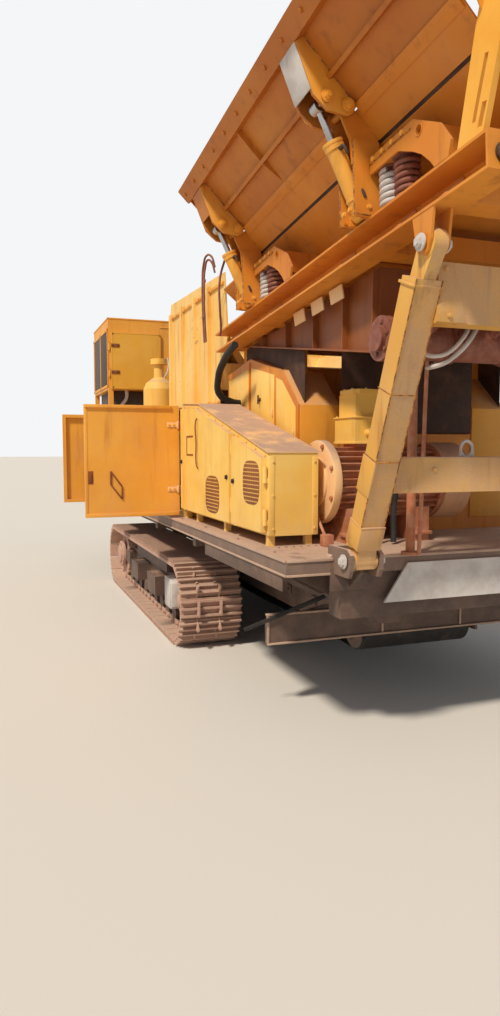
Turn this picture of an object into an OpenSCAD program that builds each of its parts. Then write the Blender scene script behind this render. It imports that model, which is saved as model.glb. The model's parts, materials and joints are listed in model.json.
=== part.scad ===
// Tracked jaw crusher plant, built from named pieces in one frame.
// Millimetres, +Z up, origin on the ground under the middle of the tracks.
// +X runs to the feed end, -Y is the side with the belt guard and the bay doors.

/* [Chassis] */
// Overall width over the tracks and the decks
machine_w = 2500; // [2440:10:2560]
// Underside of the deck above the ground
deck_z = 964; // [950:2:980]
// Height of the deck's edge channel
deck_t = 86; // [76:2:96]
// Length of the deck from the track's middle to the feed end
deck_front = 3870; // [3850:5:3900]
// Length of the deck from the track's middle to the discharge end
deck_rear = 3700; // [3600:10:3800]

/* [Tracks] */
// Width of a track shoe
shoe_w = 500; // [460:10:520]
// Distance from the track's middle to each end wheel's axle
axle_x = 1430; // [1400:5:1460]
// Radius over the grouser tips round an end wheel
track_r = 350; // [345:1:355]
// Number of shoes in one chain
shoe_n = 46; // [45:1:47]

/* [Feeder and hopper] */
// Slope of the feeder towards the feed end
feeder_tilt = 4.2; // [4:0.1:4.4]
// Height of the feeder's base channel
channel_h = 140; // [132:2:144]
// Slope of the hopper's side walls above the level
wall_slope = 46; // [45:0.5:47]
// Width of a folding side wall, hinge line to rim
wall_w = 480; // [440:5:500]
// Length of the hopper along the feeder
wall_len = 2560; // [2500:10:2600]

/* [Drive] */
// Radius of the grooved crusher flywheel
flywheel_r = 425; // [410:5:430]
// Radius of the motor's belt pulley
pulley_r = 130; // [124:2:136]
// Radius of the motor housing over its fins
motor_r = 225; // [215:5:230]

/* [Doors] */
// Height of the two bay doors
bay_door_h = 870; // [840:5:880]
// Width of each bay door
bay_door_w = 755; // [735:5:760]
// Thickness of a sheet-metal door
door_t = 36; // [30:2:38]

/* [Hidden] */
$fn = 48;
half_w = machine_w / 2;
deck_top = deck_z + deck_t;
beam_i = 480;
beam_o = 620;
beam_z = 640;
track_i = half_w - shoe_w;
track_c = half_w - shoe_w / 2;
band_r = track_r - 50;
band_t = 45;
shoe_r = track_r - 35;
chain_len = 4 * axle_x + 2 * PI * shoe_r;
pitch = chain_len / shoe_n;
fx = 1740;
fz = 2344;
hinge_y = 1055;
hinge_w = 622;
p0_y = hinge_y - 55;
p0_w = hinge_w + 12;
arm_y = 105;
arm_w = 22;
eye_y = 950;
eye_w = 186;
cyl_dy = hinge_y + arm_y - eye_y;
cyl_dw = hinge_w + arm_w - eye_w;
cyl_len = sqrt(cyl_dy * cyl_dy + cyl_dw * cyl_dw);
cyl_ang = atan2(cyl_dy, cyl_dw);
arm_near = 2320;
arm_far = 790;
plate_in = 68;
plate_out = 83;
lug_in = 46;
lug_out = 62;
guard_y0 = -1150;
guard_y1 = -855;
guard_z0 = deck_top + 60;
bay_x0 = -200;
bay_x1 = 1500;
shaft_x = 650;
shaft_z = 1500;
motor_x = 3225;
motor_z = 1405;
wheel_y0 = -1085;
wheel_y1 = -905;
knee_x = 300;
belt_z = 560;
tail_x = 3000;
ramp = 20;
ramp_len = 6250;
drum_r = 130;
// The chute, the vibrator drive and the portal's head go with the feeder
chute_x0 = fx + 290;
chute_x1 = fx + 2160;
chute_z0 = fz + 10;
chute_z1 = fz - 264;
head_x = fx + 2660;
head_z = fz + 36;
vib_x = head_x - 250;
vib_z = head_z - 270;

module box(x0, x1, y0, y1, z0, z1) {
  translate([x0, y0, z0]) cube([x1 - x0, y1 - y0, z1 - z0]);
}
module plate_y(pts, y0, y1) {
  translate([0, y1, 0]) rotate([90, 0, 0]) linear_extrude(height = y1 - y0) polygon(pts);
}
module plate_x(pts, x0, x1) {
  translate([x0, 0, 0]) rotate([90, 0, 90]) linear_extrude(height = x1 - x0) polygon(pts);
}
module cyl_y(x, z, r, y0, y1) {
  translate([x, y1, z]) rotate([90, 0, 0]) cylinder(r = r, h = y1 - y0);
}
module cyl_x(y, z, r, x0, x1) {
  translate([x0, y, z]) rotate([0, 90, 0]) cylinder(r = r, h = x1 - x0);
}
module cyl_z(x, y, r, z0, z1) {
  translate([x, y, z0]) cylinder(r = r, h = z1 - z0);
}
module on_feeder() {
  translate([fx, 0, fz]) rotate([0, -feeder_tilt, 0]) children();
}
module right_side() {
  mirror([0, 1, 0]) children();
}

// A vertical hinge's fixed half: knuckle, pin and a tab back to the face that carries it
module hinge_seat(x, y, z, tx, ty) {
  cyl_z(x, y, 13, z - 30, z - 0.3);
  cyl_z(x, y, 7, z - 30, z + 64);
  box(min(x - 8, tx), max(x + 8, tx), min(y - 8, ty), max(y + 8, ty), z - 30, z - 0.3);
}
module hinge_leaf(x, y, z, tx, ty) {
  difference() {
    union() {
      cyl_z(x, y, 13, z, z + 60);
      box(min(x - 5, tx), max(x + 5, tx), min(y - 5, ty), max(y + 5, ty), z, z + 60);
    }
    cyl_z(x, y, 7.3, z - 1, z + 61);
  }
}

// Chassis
module chassis_frame() {
  color([0.45, 0.36, 0.30]) {
    for (s = [-1, 1])
      box(-deck_rear, deck_front - 170, s < 0 ? -beam_o : beam_i, s < 0 ? -beam_i : beam_o, beam_z, deck_z);
    for (x = [3530, 2300, 1500]) box(x - 80, x + 80, -beam_i, beam_i, deck_z - 140, deck_z);
    for (x = [-3620, -2900]) box(x - 80, x + 80, -beam_i, beam_i, beam_z, beam_z + 140);
    box(deck_front - 170, deck_front - 30, -930, 930, beam_z + 80, deck_z);
    for (s = [-1, 1]) for (x = [-1950, -650, 650, 1950, 3100])
      box(x - 40, x + 40, s < 0 ? -half_w + 60 : beam_o, s < 0 ? -beam_o : half_w - 60, deck_z - 90, deck_z);
  }
}
module deck() {
  color([0.55, 0.45, 0.38]) {
    difference() {
      box(-deck_rear, deck_front, -half_w, half_w, deck_z, deck_top);
      box(-deck_rear + 8, deck_front - 8, -half_w + 8, half_w - 8, deck_z - 1, deck_top - 8);
      box(-deck_rear - 1, 2250, -460, 460, deck_z - 1, deck_top + 1);
    }
    for (s = [-1, 1])
      box(-deck_rear + 8, deck_front - 8, s < 0 ? -beam_o : beam_i, s < 0 ? -beam_i : beam_o, deck_z, deck_top - 8);
    for (s = [-1, 1]) box(-deck_rear, 2250, s < 0 ? -468 : 460, s < 0 ? -460 : 468, deck_z, deck_top);
    for (s = [-1, 1]) strut_feet(s);
  }
}
module strut_feet(s) {
  for (d = [-1, 1])
    plate_y([[deck_front, deck_z + 6], [4030, deck_z + 6], [4055, 1010], [4055, 1085], [4020, 1110], [deck_front, 1110]],
      s * 900 + d * 82 - 10, s * 900 + d * 82 + 10);
  box(deck_front - 60, deck_front, s * 900 - 92, s * 900 + 92, deck_top, 1110);
  cyl_y(4000, 1050, 20, s * 900 - 100, s * 900 + 100);
}

// Tracks
function loop_pos(s) =
  s < 2 * axle_x ? [axle_x - s, track_r - shoe_r, 180] :
  s < 2 * axle_x + PI * shoe_r ?
    let (a = (s - 2 * axle_x) / shoe_r * 180 / PI) [-axle_x - shoe_r * sin(a), track_r - shoe_r * cos(a), 180 - a] :
  s < 4 * axle_x + PI * shoe_r ? [-axle_x + (s - 2 * axle_x - PI * shoe_r), track_r + shoe_r, 0] :
  let (a = (s - 4 * axle_x - PI * shoe_r) / shoe_r * 180 / PI) [axle_x + shoe_r * sin(a), track_r + shoe_r * cos(a), -a];
module stadium(r) {
  translate([-axle_x, track_r]) circle(r = r, $fn = 96);
  translate([axle_x, track_r]) circle(r = r, $fn = 96);
  translate([-axle_x, track_r - r]) square([2 * axle_x, 2 * r]);
}
module shoe() {
  translate([-pitch / 2 + 6, 0, -20]) cube([pitch - 12, shoe_w, 24]);
  for (g = [-0.34, 0, 0.34]) translate([g * pitch - 8, 0, 4]) cube([16, shoe_w, 31]);
}
module track_chain() {
  color([0.55, 0.42, 0.36]) {
    for (i = [0:shoe_n - 1]) let (p = loop_pos((i + 0.04) * pitch))
      translate([p[0], track_i, p[1]]) rotate([0, -p[2], 0]) shoe();
    for (y = [track_c - 110, track_c + 60]) translate([0, y + 50, 0]) rotate([90, 0, 0]) linear_extrude(height = 50)
      difference() {
      stadium(band_r);
      stadium(band_r - band_t);
    }
  }
}
module track_chain_right() {
  right_side() track_chain();
}
module track_chain_left() {
  track_chain();
}
module track_frame() {
  color([0.50, 0.40, 0.34]) {
    box(-axle_x + 270, axle_x - 270, track_c - 60, track_c + 60, track_r - 110, track_r + 110);
    box(-700, 700, track_c - 110, track_c + 110, track_r + 110, track_r + band_r - band_t);
    for (x = [-950, 950]) box(x - 120, x + 120, beam_o, track_c - 60, track_r - 90, track_r + 110);
    for (x = [-950, 950]) box(x - 120, x + 120, beam_o - 100, beam_o, track_r + 110, beam_z);
    for (x = [-950, 950]) box(x - 120, x + 120, beam_o, beam_o + 60, track_r + 110, beam_z);
    for (e = [-1, 1]) {
      for (y = [track_c - 135, track_c + 115])
        box(e < 0 ? -axle_x - 70 : axle_x - 400, e < 0 ? -axle_x + 400 : axle_x + 70,
          y, y + 20, track_r - 70, track_r + 70);
      box(e < 0 ? -axle_x + 275 : axle_x - 395, e < 0 ? -axle_x + 395 : axle_x - 275,
        track_c - 115, track_c + 115, track_r - 70, track_r + 70);
    }
    for (x = [-1000:250:1000]) cyl_y(x, track_r - band_r + band_t + 70, 70, track_c - 120, track_c + 120);
    for (x = [-1000:250:1000])
      box(x - 60, x + 60, track_c - 60, track_c + 60, track_r - band_r + band_t + 70, track_r - 110);
    for (x = [-420, 420]) box(x - 180, x + 180, track_c + 60, track_c + 200, track_r - 120, track_r + 60);
  }
}
module track_frame_right() {
  right_side() track_frame();
}
module track_frame_left() {
  track_frame();
}
module track_wheels() {
  color([0.48, 0.38, 0.33]) {
    difference() {
      cyl_y(axle_x, track_r, band_r - band_t - 0.3, track_c - 112, track_c + 112);
      for (a = [0:45:315]) cyl_y(axle_x + 165 * cos(a), track_r + 165 * sin(a), 38, track_c - 120, track_c + 120);
    }
    cyl_y(axle_x, track_r, 60, track_c - 115, track_c + 115);
    difference() {
      cyl_y(-axle_x, track_r, band_r - band_t - 0.3, track_c - 112, track_c + 112);
      for (a = [0:30:330]) translate([-axle_x, 0, track_r]) rotate([0, a + 15, 0])
        translate([band_r - band_t + 3, 0, 0]) rotate([90, 0, 0])
          translate([0, 0, -track_c - 120]) cylinder(r = 26, h = 240);
    }
    cyl_y(-axle_x, track_r, 60, track_c - 115, track_c + 115);
  }
}
module track_wheels_right() {
  right_side() track_wheels();
}
module track_wheels_left() {
  track_wheels();
}

// Belt guard and flywheel bay
module belt_guard() {
  color([0.93, 0.75, 0.36]) {
    difference() {
      plate_y([[bay_x1, guard_z0], [3390, guard_z0], [3390, 1580], [1980, 1930], [bay_x1, 1960]], guard_y0, guard_y1);
      plate_y([[bay_x1 + 60, guard_z0 + 12], [3378, guard_z0 + 12], [3378, 1571], [1980, 1918], [bay_x1 + 60, 1944]],
        guard_y0 + 12, guard_y1 - 12);
      plate_y([[bay_x1 + 80, guard_z0 + 50], [2770, guard_z0 + 50], [2770, 1660], [1980, 1860], [bay_x1 + 80, 1888]],
        guard_y0 - 1, guard_y0 + 20);
      plate_y([[2860, guard_z0 + 50], [3330, guard_z0 + 50], [3330, 1520], [2860, 1636]],
        guard_y0 - 1, guard_y0 + 20);
      cyl_y(motor_x, motor_z, 60, guard_y1 - 13, guard_y1 + 1);
      box(bay_x1 - 1, bay_x1 + 61, wheel_y0 - 25, wheel_y1 + 25, guard_z0 + 12, 1860);
    }
    for (x = [1560, 1880, 2560, 3340]) box(x - 20, x + 20, guard_y0 + 4, guard_y0 + 44, deck_top, guard_z0);
    for (x = [1560, 2440, 3340]) box(x - 20, x + 20, guard_y1 - 60, guard_y1 - 20, deck_top, guard_z0);
    difference() {
      box(bay_x0, bay_x1, guard_y0, guard_y1, deck_top, 1960);
      box(bay_x0 + 50, bay_x1 - 50, guard_y0 - 1, guard_y1 - 12, deck_top + 12, 1935);
      box(bay_x1 - 51, bay_x1 + 1, wheel_y0 - 25, wheel_y1 + 25, guard_z0 + 12, 1860);
      cyl_y(shaft_x, shaft_z, 90, guard_y1 - 13, guard_y1 + 1);
    }
    box(535, 765, guard_y0, guard_y0 + 10, deck_top + 12, 1935);
    box(bay_x0 - 30, bay_x0, guard_y0, guard_y0 + 60, deck_top, 1960);
    for (z = [1250, 1760]) {
      hinge_seat(bay_x1 + 10, guard_y0 - 25, z, bay_x1 + 10, guard_y0);
      hinge_seat(bay_x0 - 10, guard_y0 - 25, z, bay_x0 - 10, guard_y0);
    }
    for (z = [1230, 1600]) hinge_seat(2800, guard_y0 - 5 - door_t / 2, z, 2800, guard_y0);
    for (z = [1200, 1440]) hinge_seat(3375, guard_y0 - 5 - door_t / 2, z, 3375, guard_y0);
  }
}
module guard_door(top) {
  plate_y(concat([[top[0][0], guard_z0 + 20], [top[len(top) - 1][0], guard_z0 + 20]], [for (i = [len(top) - 1:-1:0]) top[i]]),
    guard_y0 - 5 - door_t, guard_y0 - 5);
}
module guard_door_far() {
  y = guard_y0 - 5 - door_t / 2;
  color([0.95, 0.78, 0.38]) difference() {
    union() {
      guard_door([[1560, 1915], [1980, 1897], [2782, 1698]]);
      for (z = [1230, 1600]) hinge_leaf(2800, y, z, 2775, y);
    }
    plate_y([[1590, guard_z0 + 50], [2755, guard_z0 + 50], [2755, 1674], [1980, 1866], [1590, 1882]],
      guard_y0 - door_t, guard_y0 - 4);
    for (i = [-4:4])
      box(2290, 2550, guard_y0 - door_t - 6, guard_y0 - 4, 1290 + i * 24 - 6, 1290 + i * 24 + 6);
  }
}
module guard_door_near() {
  y = guard_y0 - 5 - door_t / 2;
  color([0.95, 0.78, 0.38]) difference() {
    union() {
      guard_door([[2830, 1683], [3357, 1550]]);
      for (z = [1200, 1440]) hinge_leaf(3375, y, z, 3350, y);
    }
    plate_y([[2860, guard_z0 + 50], [3330, guard_z0 + 50], [3330, 1525], [2860, 1642]],
      guard_y0 - door_t, guard_y0 - 4);
    for (i = [-4:4])
      box(3080, 3310, guard_y0 - door_t - 6, guard_y0 - 4, 1405 + i * 24 - 6, 1405 + i * 24 + 6);
  }
}
module bay_leaf(dir) {
  difference() {
    translate([-door_t / 2, -bay_door_w - 5, 0]) cube([door_t, bay_door_w - 13, bay_door_h]);
    translate([dir > 0 ? -door_t / 2 - 1 : -door_t / 2 + 4, -bay_door_w + 25, 30])
      cube([door_t - 3, bay_door_w - 60, bay_door_h - 60]);
  }
}
module bay_door_near() {
  color([0.92, 0.62, 0.22]) translate([bay_x1 + 10, guard_y0 - 25, 1070]) {
    bay_leaf(1);
    for (z = [180, 690]) hinge_leaf(0, 0, z, 0, -24);
  }
}
module bay_door_far() {
  color([0.92, 0.58, 0.20]) translate([bay_x0 - 10, guard_y0 - 25, 1070]) {
    bay_leaf(-1);
    for (z = [180, 690]) hinge_leaf(0, 0, z, 0, -24);
  }
}

// Crusher and drive
module crusher_body() {
  color([0.93, 0.70, 0.25]) {
    for (s = [-1, 1]) difference() {
      plate_y([[-180, deck_top], [1420, deck_top], [1500, 1300], [1500, 2080], [-50, 2080], [-250, 1700], [-250, 1200]],
        s < 0 ? -560 : 480, s < 0 ? -480 : 560);
      cyl_y(shaft_x, shaft_z, 90.3, s < 0 ? -561 : 479, s < 0 ? -479 : 561);
    }
    plate_y([[1420, deck_top], [1500, 1300], [1500, 2080], [1380, 2080], [1304, deck_top]], -480, 480);
    plate_y([[-250, 1200], [-180, deck_top], [-120, deck_top], [-150, 1200], [-150, 1700], [40, 2080], [-50, 2080],
      [-250, 1700]], -480, 480);
    for (s = [-1, 1]) for (x = [100, 1200])
      box(x - 60, x + 60, s < 0 ? -610 : 560, s < 0 ? -560 : 610, deck_top, 2000);
    for (s = [-1, 1]) difference() {
      cyl_y(shaft_x, shaft_z, 190, s < 0 ? -700 : 560, s < 0 ? -560 : 700);
      cyl_y(shaft_x, shaft_z, 90.3, s < 0 ? -701 : 559, s < 0 ? -559 : 701);
    }
    for (s = [-1, 1]) box(-250, 1500, s < 0 ? -600 : 560, s < 0 ? -560 : 600, deck_top, deck_top + 60);
  }
}
module fixed_jaw() {
  color([0.42, 0.40, 0.38]) {
    plate_y([[1379, 2075], [1304, 1060], [1244, 1060], [1319, 2075]], -470, 470);
    for (y = [-450:100:450]) plate_y([[1319, 2075], [1244, 1060], [1222, 1060], [1297, 2075]], y - 22, y + 22);
  }
}
module swing_jaw() {
  color([0.45, 0.42, 0.40]) {
    difference() {
      union() {
        cyl_y(shaft_x, shaft_z, 200, -440, 440);
        plate_y([[shaft_x - 40, 1560], [760, 2060], [860, 2060], [1120, 960], [980, 940], [shaft_x + 60, 1320]],
          -440, 440);
      }
      cyl_y(shaft_x, shaft_z, 89.7, -441, 441);
    }
    for (y = [-400:100:400]) plate_y([[860, 2050], [1118, 968], [1140, 968], [882, 2050]], y - 22, y + 22);
    cyl_y(shaft_x, shaft_z, 89.7, -1115, 1115);
  }
}
module drive_flywheel() {
  color([0.45, 0.40, 0.36]) translate([shaft_x, 0, shaft_z]) difference() {
    cyl_y(0, 0, flywheel_r, wheel_y0, wheel_y1);
    cyl_y(0, 0, flywheel_r - 70, wheel_y0 - 1, wheel_y0 + 60);
    cyl_y(0, 0, flywheel_r - 70, wheel_y1 - 60, wheel_y1 + 1);
    for (a = [0:60:300]) cyl_y(240 * cos(a), 240 * sin(a), 75, wheel_y0 - 1, wheel_y1 + 1);
    for (y = [wheel_y0 + 30:30:wheel_y1 - 30]) translate([0, y, 0]) rotate([90, 0, 0]) rotate_extrude()
      polygon([[flywheel_r + 1, -10], [flywheel_r + 1, 10], [flywheel_r - 16, 6], [flywheel_r - 16, -6]]);
    cyl_y(0, 0, 89.7, wheel_y0 - 1, wheel_y1 + 1);
  }
}
module plain_flywheel() {
  color([0.45, 0.40, 0.36]) translate([shaft_x, 0, shaft_z]) difference() {
    cyl_y(0, 0, flywheel_r, -wheel_y1, -wheel_y0);
    cyl_y(0, 0, flywheel_r - 90, -wheel_y1 - 1, -wheel_y1 + 60);
    cyl_y(0, 0, flywheel_r - 90, -wheel_y0 - 60, -wheel_y0 + 1);
    for (a = [0:60:300]) cyl_y(240 * cos(a), 240 * sin(a), 75, -wheel_y1 - 1, -wheel_y0 + 1);
    cyl_y(0, 0, 89.7, -wheel_y1 - 1, -wheel_y0 + 1);
  }
}
function belt_ring(grow) =
  let (dx = motor_x - shaft_x, dz = motor_z - shaft_z, d = sqrt(dx * dx + dz * dz), a = atan2(dz, dx),
    b = asin((flywheel_r - pulley_r) / d), r1 = flywheel_r - 16 + grow, r2 = pulley_r - 16 + grow)
  concat(
    [for (i = [0:44]) let (t = a + 90 - b + i * (180 + 2 * b) / 44)
      [shaft_x + r1 * cos(t), shaft_z + r1 * sin(t)]],
    [for (i = [0:28]) let (t = a - 90 + b + i * (180 - 2 * b) / 28) [motor_x + r2 * cos(t), motor_z + r2 * sin(t)]]);
module drive_belts() {
  color([0.12, 0.12, 0.12]) for (y = [wheel_y0 + 30:30:wheel_y1 - 30])
    translate([0, y + 6, 0]) rotate([90, 0, 0]) linear_extrude(height = 12) difference() {
    polygon(belt_ring(19));
    polygon(belt_ring(0.5));
  }
}
module motor_pulley() {
  color([0.35, 0.33, 0.31]) translate([motor_x, 0, motor_z]) {
    difference() {
      cyl_y(0, 0, pulley_r, wheel_y0, wheel_y1);
      cyl_y(0, 0, pulley_r - 45, wheel_y0 - 1, wheel_y0 + 40);
      for (y = [wheel_y0 + 30:30:wheel_y1 - 30]) translate([0, y, 0]) rotate([90, 0, 0]) rotate_extrude()
        polygon([[pulley_r + 1, -10], [pulley_r + 1, 10], [pulley_r - 16, 6], [pulley_r - 16, -6]]);
    }
    cyl_y(0, 0, 40, wheel_y1, -780);
  }
}
module motor_body() {
  color([0.62, 0.42, 0.30]) translate([motor_x, 0, motor_z]) {
    cyl_y(0, 0, motor_r - 35, -740, -30);
    cyl_y(0, 0, motor_r + 20, -780, -740);
    cyl_y(0, 0, motor_r, -60, -5);
    for (a = [-66:12:66]) for (q = [0, 180]) rotate([0, a + q, 0]) box(motor_r - 40, motor_r, -735, -62, -3, 3);
    for (y = [-640, -180]) box(-210, 210, y - 45, y + 45, deck_top - motor_z, -150);
    box(-90, 90, -560, -300, motor_r - 60, motor_r + 5);
  }
}
module motor_cowl() {
  color([0.90, 0.62, 0.32]) translate([motor_x, 0, motor_z]) difference() {
    union() {
      cyl_y(0, 0, motor_r + 12, -30, 150);
      translate([0, 150, 0]) rotate([-90, 0, 0]) rotate_extrude()
        polygon([[0, 0], [motor_r + 12, 0], [motor_r - 40, 30], [0, 34]]);
    }
    cyl_y(0, 0, motor_r, -31, 120);
    for (r = [60:30:150]) difference() {
      cyl_y(0, 0, r + 9, 110, 190);
      cyl_y(0, 0, r - 9, 109, 191);
      box(-200, 200, 100, 200, -12, 12);
      box(-12, 12, 100, 200, -200, 200);
    }
    cyl_y(0, 0, 18, 110, 190);
  }
}
module terminal_box() {
  color([0.85, 0.70, 0.42]) translate([motor_x, 0, motor_z + motor_r + 5]) {
    box(-130, 130, -600, -300, 0, 150);
    box(-105, 105, -585, -320, 150, 290);
    translate([0, 0, 290]) linear_extrude(height = 28) polygon([[-112, -562], [-82, -592], [82, -592],
      [112, -562], [112, -343], [82, -313], [-82, -313], [-112, -343]]);
    for (y = [-510, -390]) cyl_x(y, 60, 26, 130, 190);
  }
}

// Support, feeder and hopper
function zf(x, w = 0) = fz + (x - fx) * tan(feeder_tilt) + w / cos(feeder_tilt);
module feeder_support() {
  color([0.93, 0.76, 0.38]) {
    for (s = [0, 1]) mirror([0, s, 0]) {
      difference() {
        plate_y([[1560, deck_top], [1560, 2190], [2080, 2260], [2700, 2110], [2960, 1880], [2960, deck_top]],
          -790, -500);
        plate_y([[1572, deck_top + 12], [1572, 2180], [2080, 2246], [2692, 2099], [2948, 1874], [2948, deck_top + 12]],
          -778, -512);
      }
      plate_y([[1800, 2200], [1960, 2220], [1960, zf(1960, -0.3)], [1800, zf(1800, -0.3)]], -740, -620);
      plate_y([[2600, 2120], [2720, 2080], [2720, zf(2720, -0.3)], [2600, zf(2600, -0.3)]], -740, -620);
      box(2076, 2084, -800, -790, 1300, 2230);
    }
    box(2900, 2960, -500, 500, deck_top, 1700);
  }
}
module fines_chute() {
  color([0.70, 0.45, 0.28]) {
    for (s = [0, 1]) mirror([0, s, 0]) {
      plate_y([[chute_x0, chute_z0], [chute_x1, chute_z1], [chute_x1, zf(chute_x1, -0.4)],
        [chute_x0, zf(chute_x0, -0.4)]], -760, -750);
      plate_y([[chute_x0 + 70, chute_z0 - 2], [chute_x0 + 70, chute_z0 - 11], [chute_x1, chute_z1],
        [chute_x1, chute_z1 + 12]], -800, -760);
      for (a = [310, 730, 1150, 1530]) let (x = chute_x0 + a)
        box(x - 4, x + 4, -797, -756, chute_z0 - a * 0.1465, zf(x, -6));
      box(chute_x1 - 20, chute_x1 - 12, -797, -756, chute_z1 + 12, zf(chute_x1 - 20, -6));
    }
    plate_y([[chute_x1 - 10, chute_z1], [chute_x1, chute_z1], [chute_x1, zf(chute_x1, -0.4)],
      [chute_x1 - 10, zf(chute_x1 - 10, -0.4)]], -750, 750);
  }
}
module vibrator_drive() {
  color([0.60, 0.42, 0.32]) {
    for (s = [0, 1]) mirror([0, s, 0]) {
      cyl_y(vib_x, vib_z, 92, -900, -180);
      for (y = [-905, -560, -215]) cyl_y(vib_x, vib_z, 104, y, y + 40);
      cyl_y(vib_x, vib_z, 60, -930, -905);
      for (y = [-700, -340]) plate_y([[vib_x - 20, vib_z + 10], [vib_x - 20, vib_z + 105], [head_x - 0.4, vib_z + 105],
        [head_x - 0.4, vib_z + 75], [vib_x + 80, vib_z + 10]], y - 12, y + 12);
      box(head_x - 10, head_x - 0.4, -820, -180, vib_z + 40, vib_z + 120);
      box(vib_x - 50, vib_x + 50, -480, -380, vib_z + 80, vib_z + 140);
    }
    cyl_y(vib_x, vib_z, 30, -180, 180);
    for (s = [-1, 1]) cyl_y(vib_x, vib_z, 58, s < 0 ? -200 : 175, s < 0 ? -175 : 200);
  }
}
module feeder_frame() {
  color([0.85, 0.55, 0.25]) {
    on_feeder() {
      for (s = [0, 1]) mirror([0, s, 0]) {
        box(0, 3225, -812, -800, 0, channel_h);
        box(0, 3225, -950, -812, 0, 12);
        box(0, 3225, -950, -812, channel_h - 12, channel_h);
        box(3213, 3225, -950, -812, 12, channel_h - 12);
        for (u = [140, 330, 1000, 2000, 2560, 2900])
          plate_x([[-812, 12], [-945, 12], [-812, channel_h - 12]], u - 6, u + 6);
        for (u = [arm_near, arm_far]) for (d = [-1, 1]) difference() {
          box(u + d * 53 - 7, u + d * 53 + 7, -980, -915, channel_h, eye_w + 30);
          cyl_x(-eye_y, eye_w, 15.3, u - 80, u + 80);
        }
      }
      for (u = [140, 920, 2300, 2900]) box(u - 60, u + 60, -800, 800, 0, 110);
      for (s = [-1, 1]) for (d = [-1, 1]) difference() {
        plate_y([[2740, 5], [2892, 5], [2868, -120], [2846, -160], [2816, -172], [2786, -160], [2764, -120]],
          s * 900 + d * 41 - 6, s * 900 + d * 41 + 6);
        cyl_y(2815.7, -120.5, 22.3, s * 900 + d * 41 - 7, s * 900 + d * 41 + 7);
      }
    }
  }
}
module ear(d) {
  translate([d, 0, 0]) difference() {
    plate_y([[2402, 329], [2402, 404], [2756, 404], [2939, 300], [3009, 204], [2990, 146], [2899, 146],
      [2874, 178], [2814, 234], [2751, 274], [2637, 329]], -945, -933);
    cyl_y(2799, 339, 20, -946, -932);
  }
  box(2406 + d, 2742 + d, -933, -640, 340, 356);
  for (u = [2426, 2600, 2724]) plate_x([[-640, 340], [-790, 340], [-640, 240]], u + d, u + d + 12);
  plate_x([[-933, 222], [-640, 222], [-640, 345], [-933, 345]], 2846 + d, 2858 + d);
}
module feeder_trough() {
  color([0.80, 0.48, 0.20]) on_feeder() {
    box(-130, 3150, -620, 620, 160, 176);
    for (s = [-1, 1]) box(-130, 3150, s < 0 ? -640 : 620, s < 0 ? -620 : 640, 120, 310);
    plate_x([[-620, 176], [620, 176], [620, 302], [858, 500], [-858, 500], [-620, 302]], 3136, 3149);
    for (s = [0, 1]) mirror([0, s, 0]) {
      plate_x([[-640, 299], [-868, 490], [-868, 500], [-860, 500], [-620, 299]], -15, 3150);
      ear(0);
      ear(-1530);
      for (u = [250, 700, 1700, 2100, 3050]) box(u - 8, u + 8, -700, -640, 140, 330);
    }
    for (u = [1350, 1850]) box(u - 40, u + 40, -620, 620, 120, 160);
  }
}
module springs() {
  color([0.50, 0.30, 0.26]) on_feeder() for (s = [0, 1]) mirror([0, s, 0]) for (u = [2462, 2588, 932, 1058]) {
    translate([u, -866, channel_h]) cylinder(r = 44, h = 340 - channel_h);
    for (i = [0:5]) translate([u, -866, channel_h + 12 + i * (316 - channel_h) / 5])
      rotate_extrude() translate([48, 0]) circle(r = 12, $fn = 24);
  }
}
module exciter() {
  color([0.75, 0.45, 0.22]) on_feeder() {
    for (s = [-1, 1]) box(1320, 1880, s * 300 - 10, s * 300 + 10, -60, 120);
    for (u = [1450, 1750]) {
      cyl_y(u, 20, 110, -330, 330);
      for (s = [-1, 1]) cyl_y(u, 20, 70, s < 0 ? -420 : 330, s < 0 ? -330 : 420);
    }
  }
}
module wall_plate(pts, u0, u1) {
  translate([u0, -p0_y, p0_w]) rotate([90 - wall_slope, 0, 0]) rotate([90, 0, 90])
    linear_extrude(height = u1 - u0) polygon(pts);
}
module hopper_wall() {
  color([0.78, 0.42, 0.14]) on_feeder() {
    wall_plate([[0, 0], [0, wall_w], [-8, wall_w], [-8, 0]], 600, 600 + wall_len);
    wall_plate([[-8, wall_w - 110], [-60, wall_w - 100], [-60, wall_w], [-8, wall_w]], 600, 600 + wall_len);
    wall_plate([[-8, 160], [-40, 165], [-40, 185], [-8, 190]], 600, 600 + wall_len);
    for (u = [606, 1560, 600 + wall_len - 14])
      wall_plate([[-8, 20], [-40, 165], [-40, wall_w - 110], [-8, wall_w]], u, u + 8);
    for (u = [arm_near, arm_far]) for (d = [-1, 1]) difference() {
      wall_plate([[-6, 4], [-6, 372], [-60, 378], [-150, 165], [-140, 75], [-75, -5], [-40, -8]],
        u + (d < 0 ? -plate_out : plate_in), u + (d < 0 ? -plate_in : plate_out));
      cyl_x(-hinge_y, hinge_w, 18.3, u - 100, u + 100);
    }
    for (u = [arm_near, arm_far]) {
      wall_plate([[-60, 376], [-128, 217], [-122, 214], [-53, 375]], u - plate_in - 3, u + plate_in + 3);
      for (d = [-1, 1]) cyl_x(-hinge_y - arm_y, hinge_w + arm_w, 26,
        u + (d < 0 ? -plate_out - 16 : plate_out), u + (d < 0 ? -plate_out : plate_out + 16));
    }
  }
}
module hopper_wall_right() {
  hopper_wall();
}
module hopper_wall_left() {
  right_side() hopper_wall();
}
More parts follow.
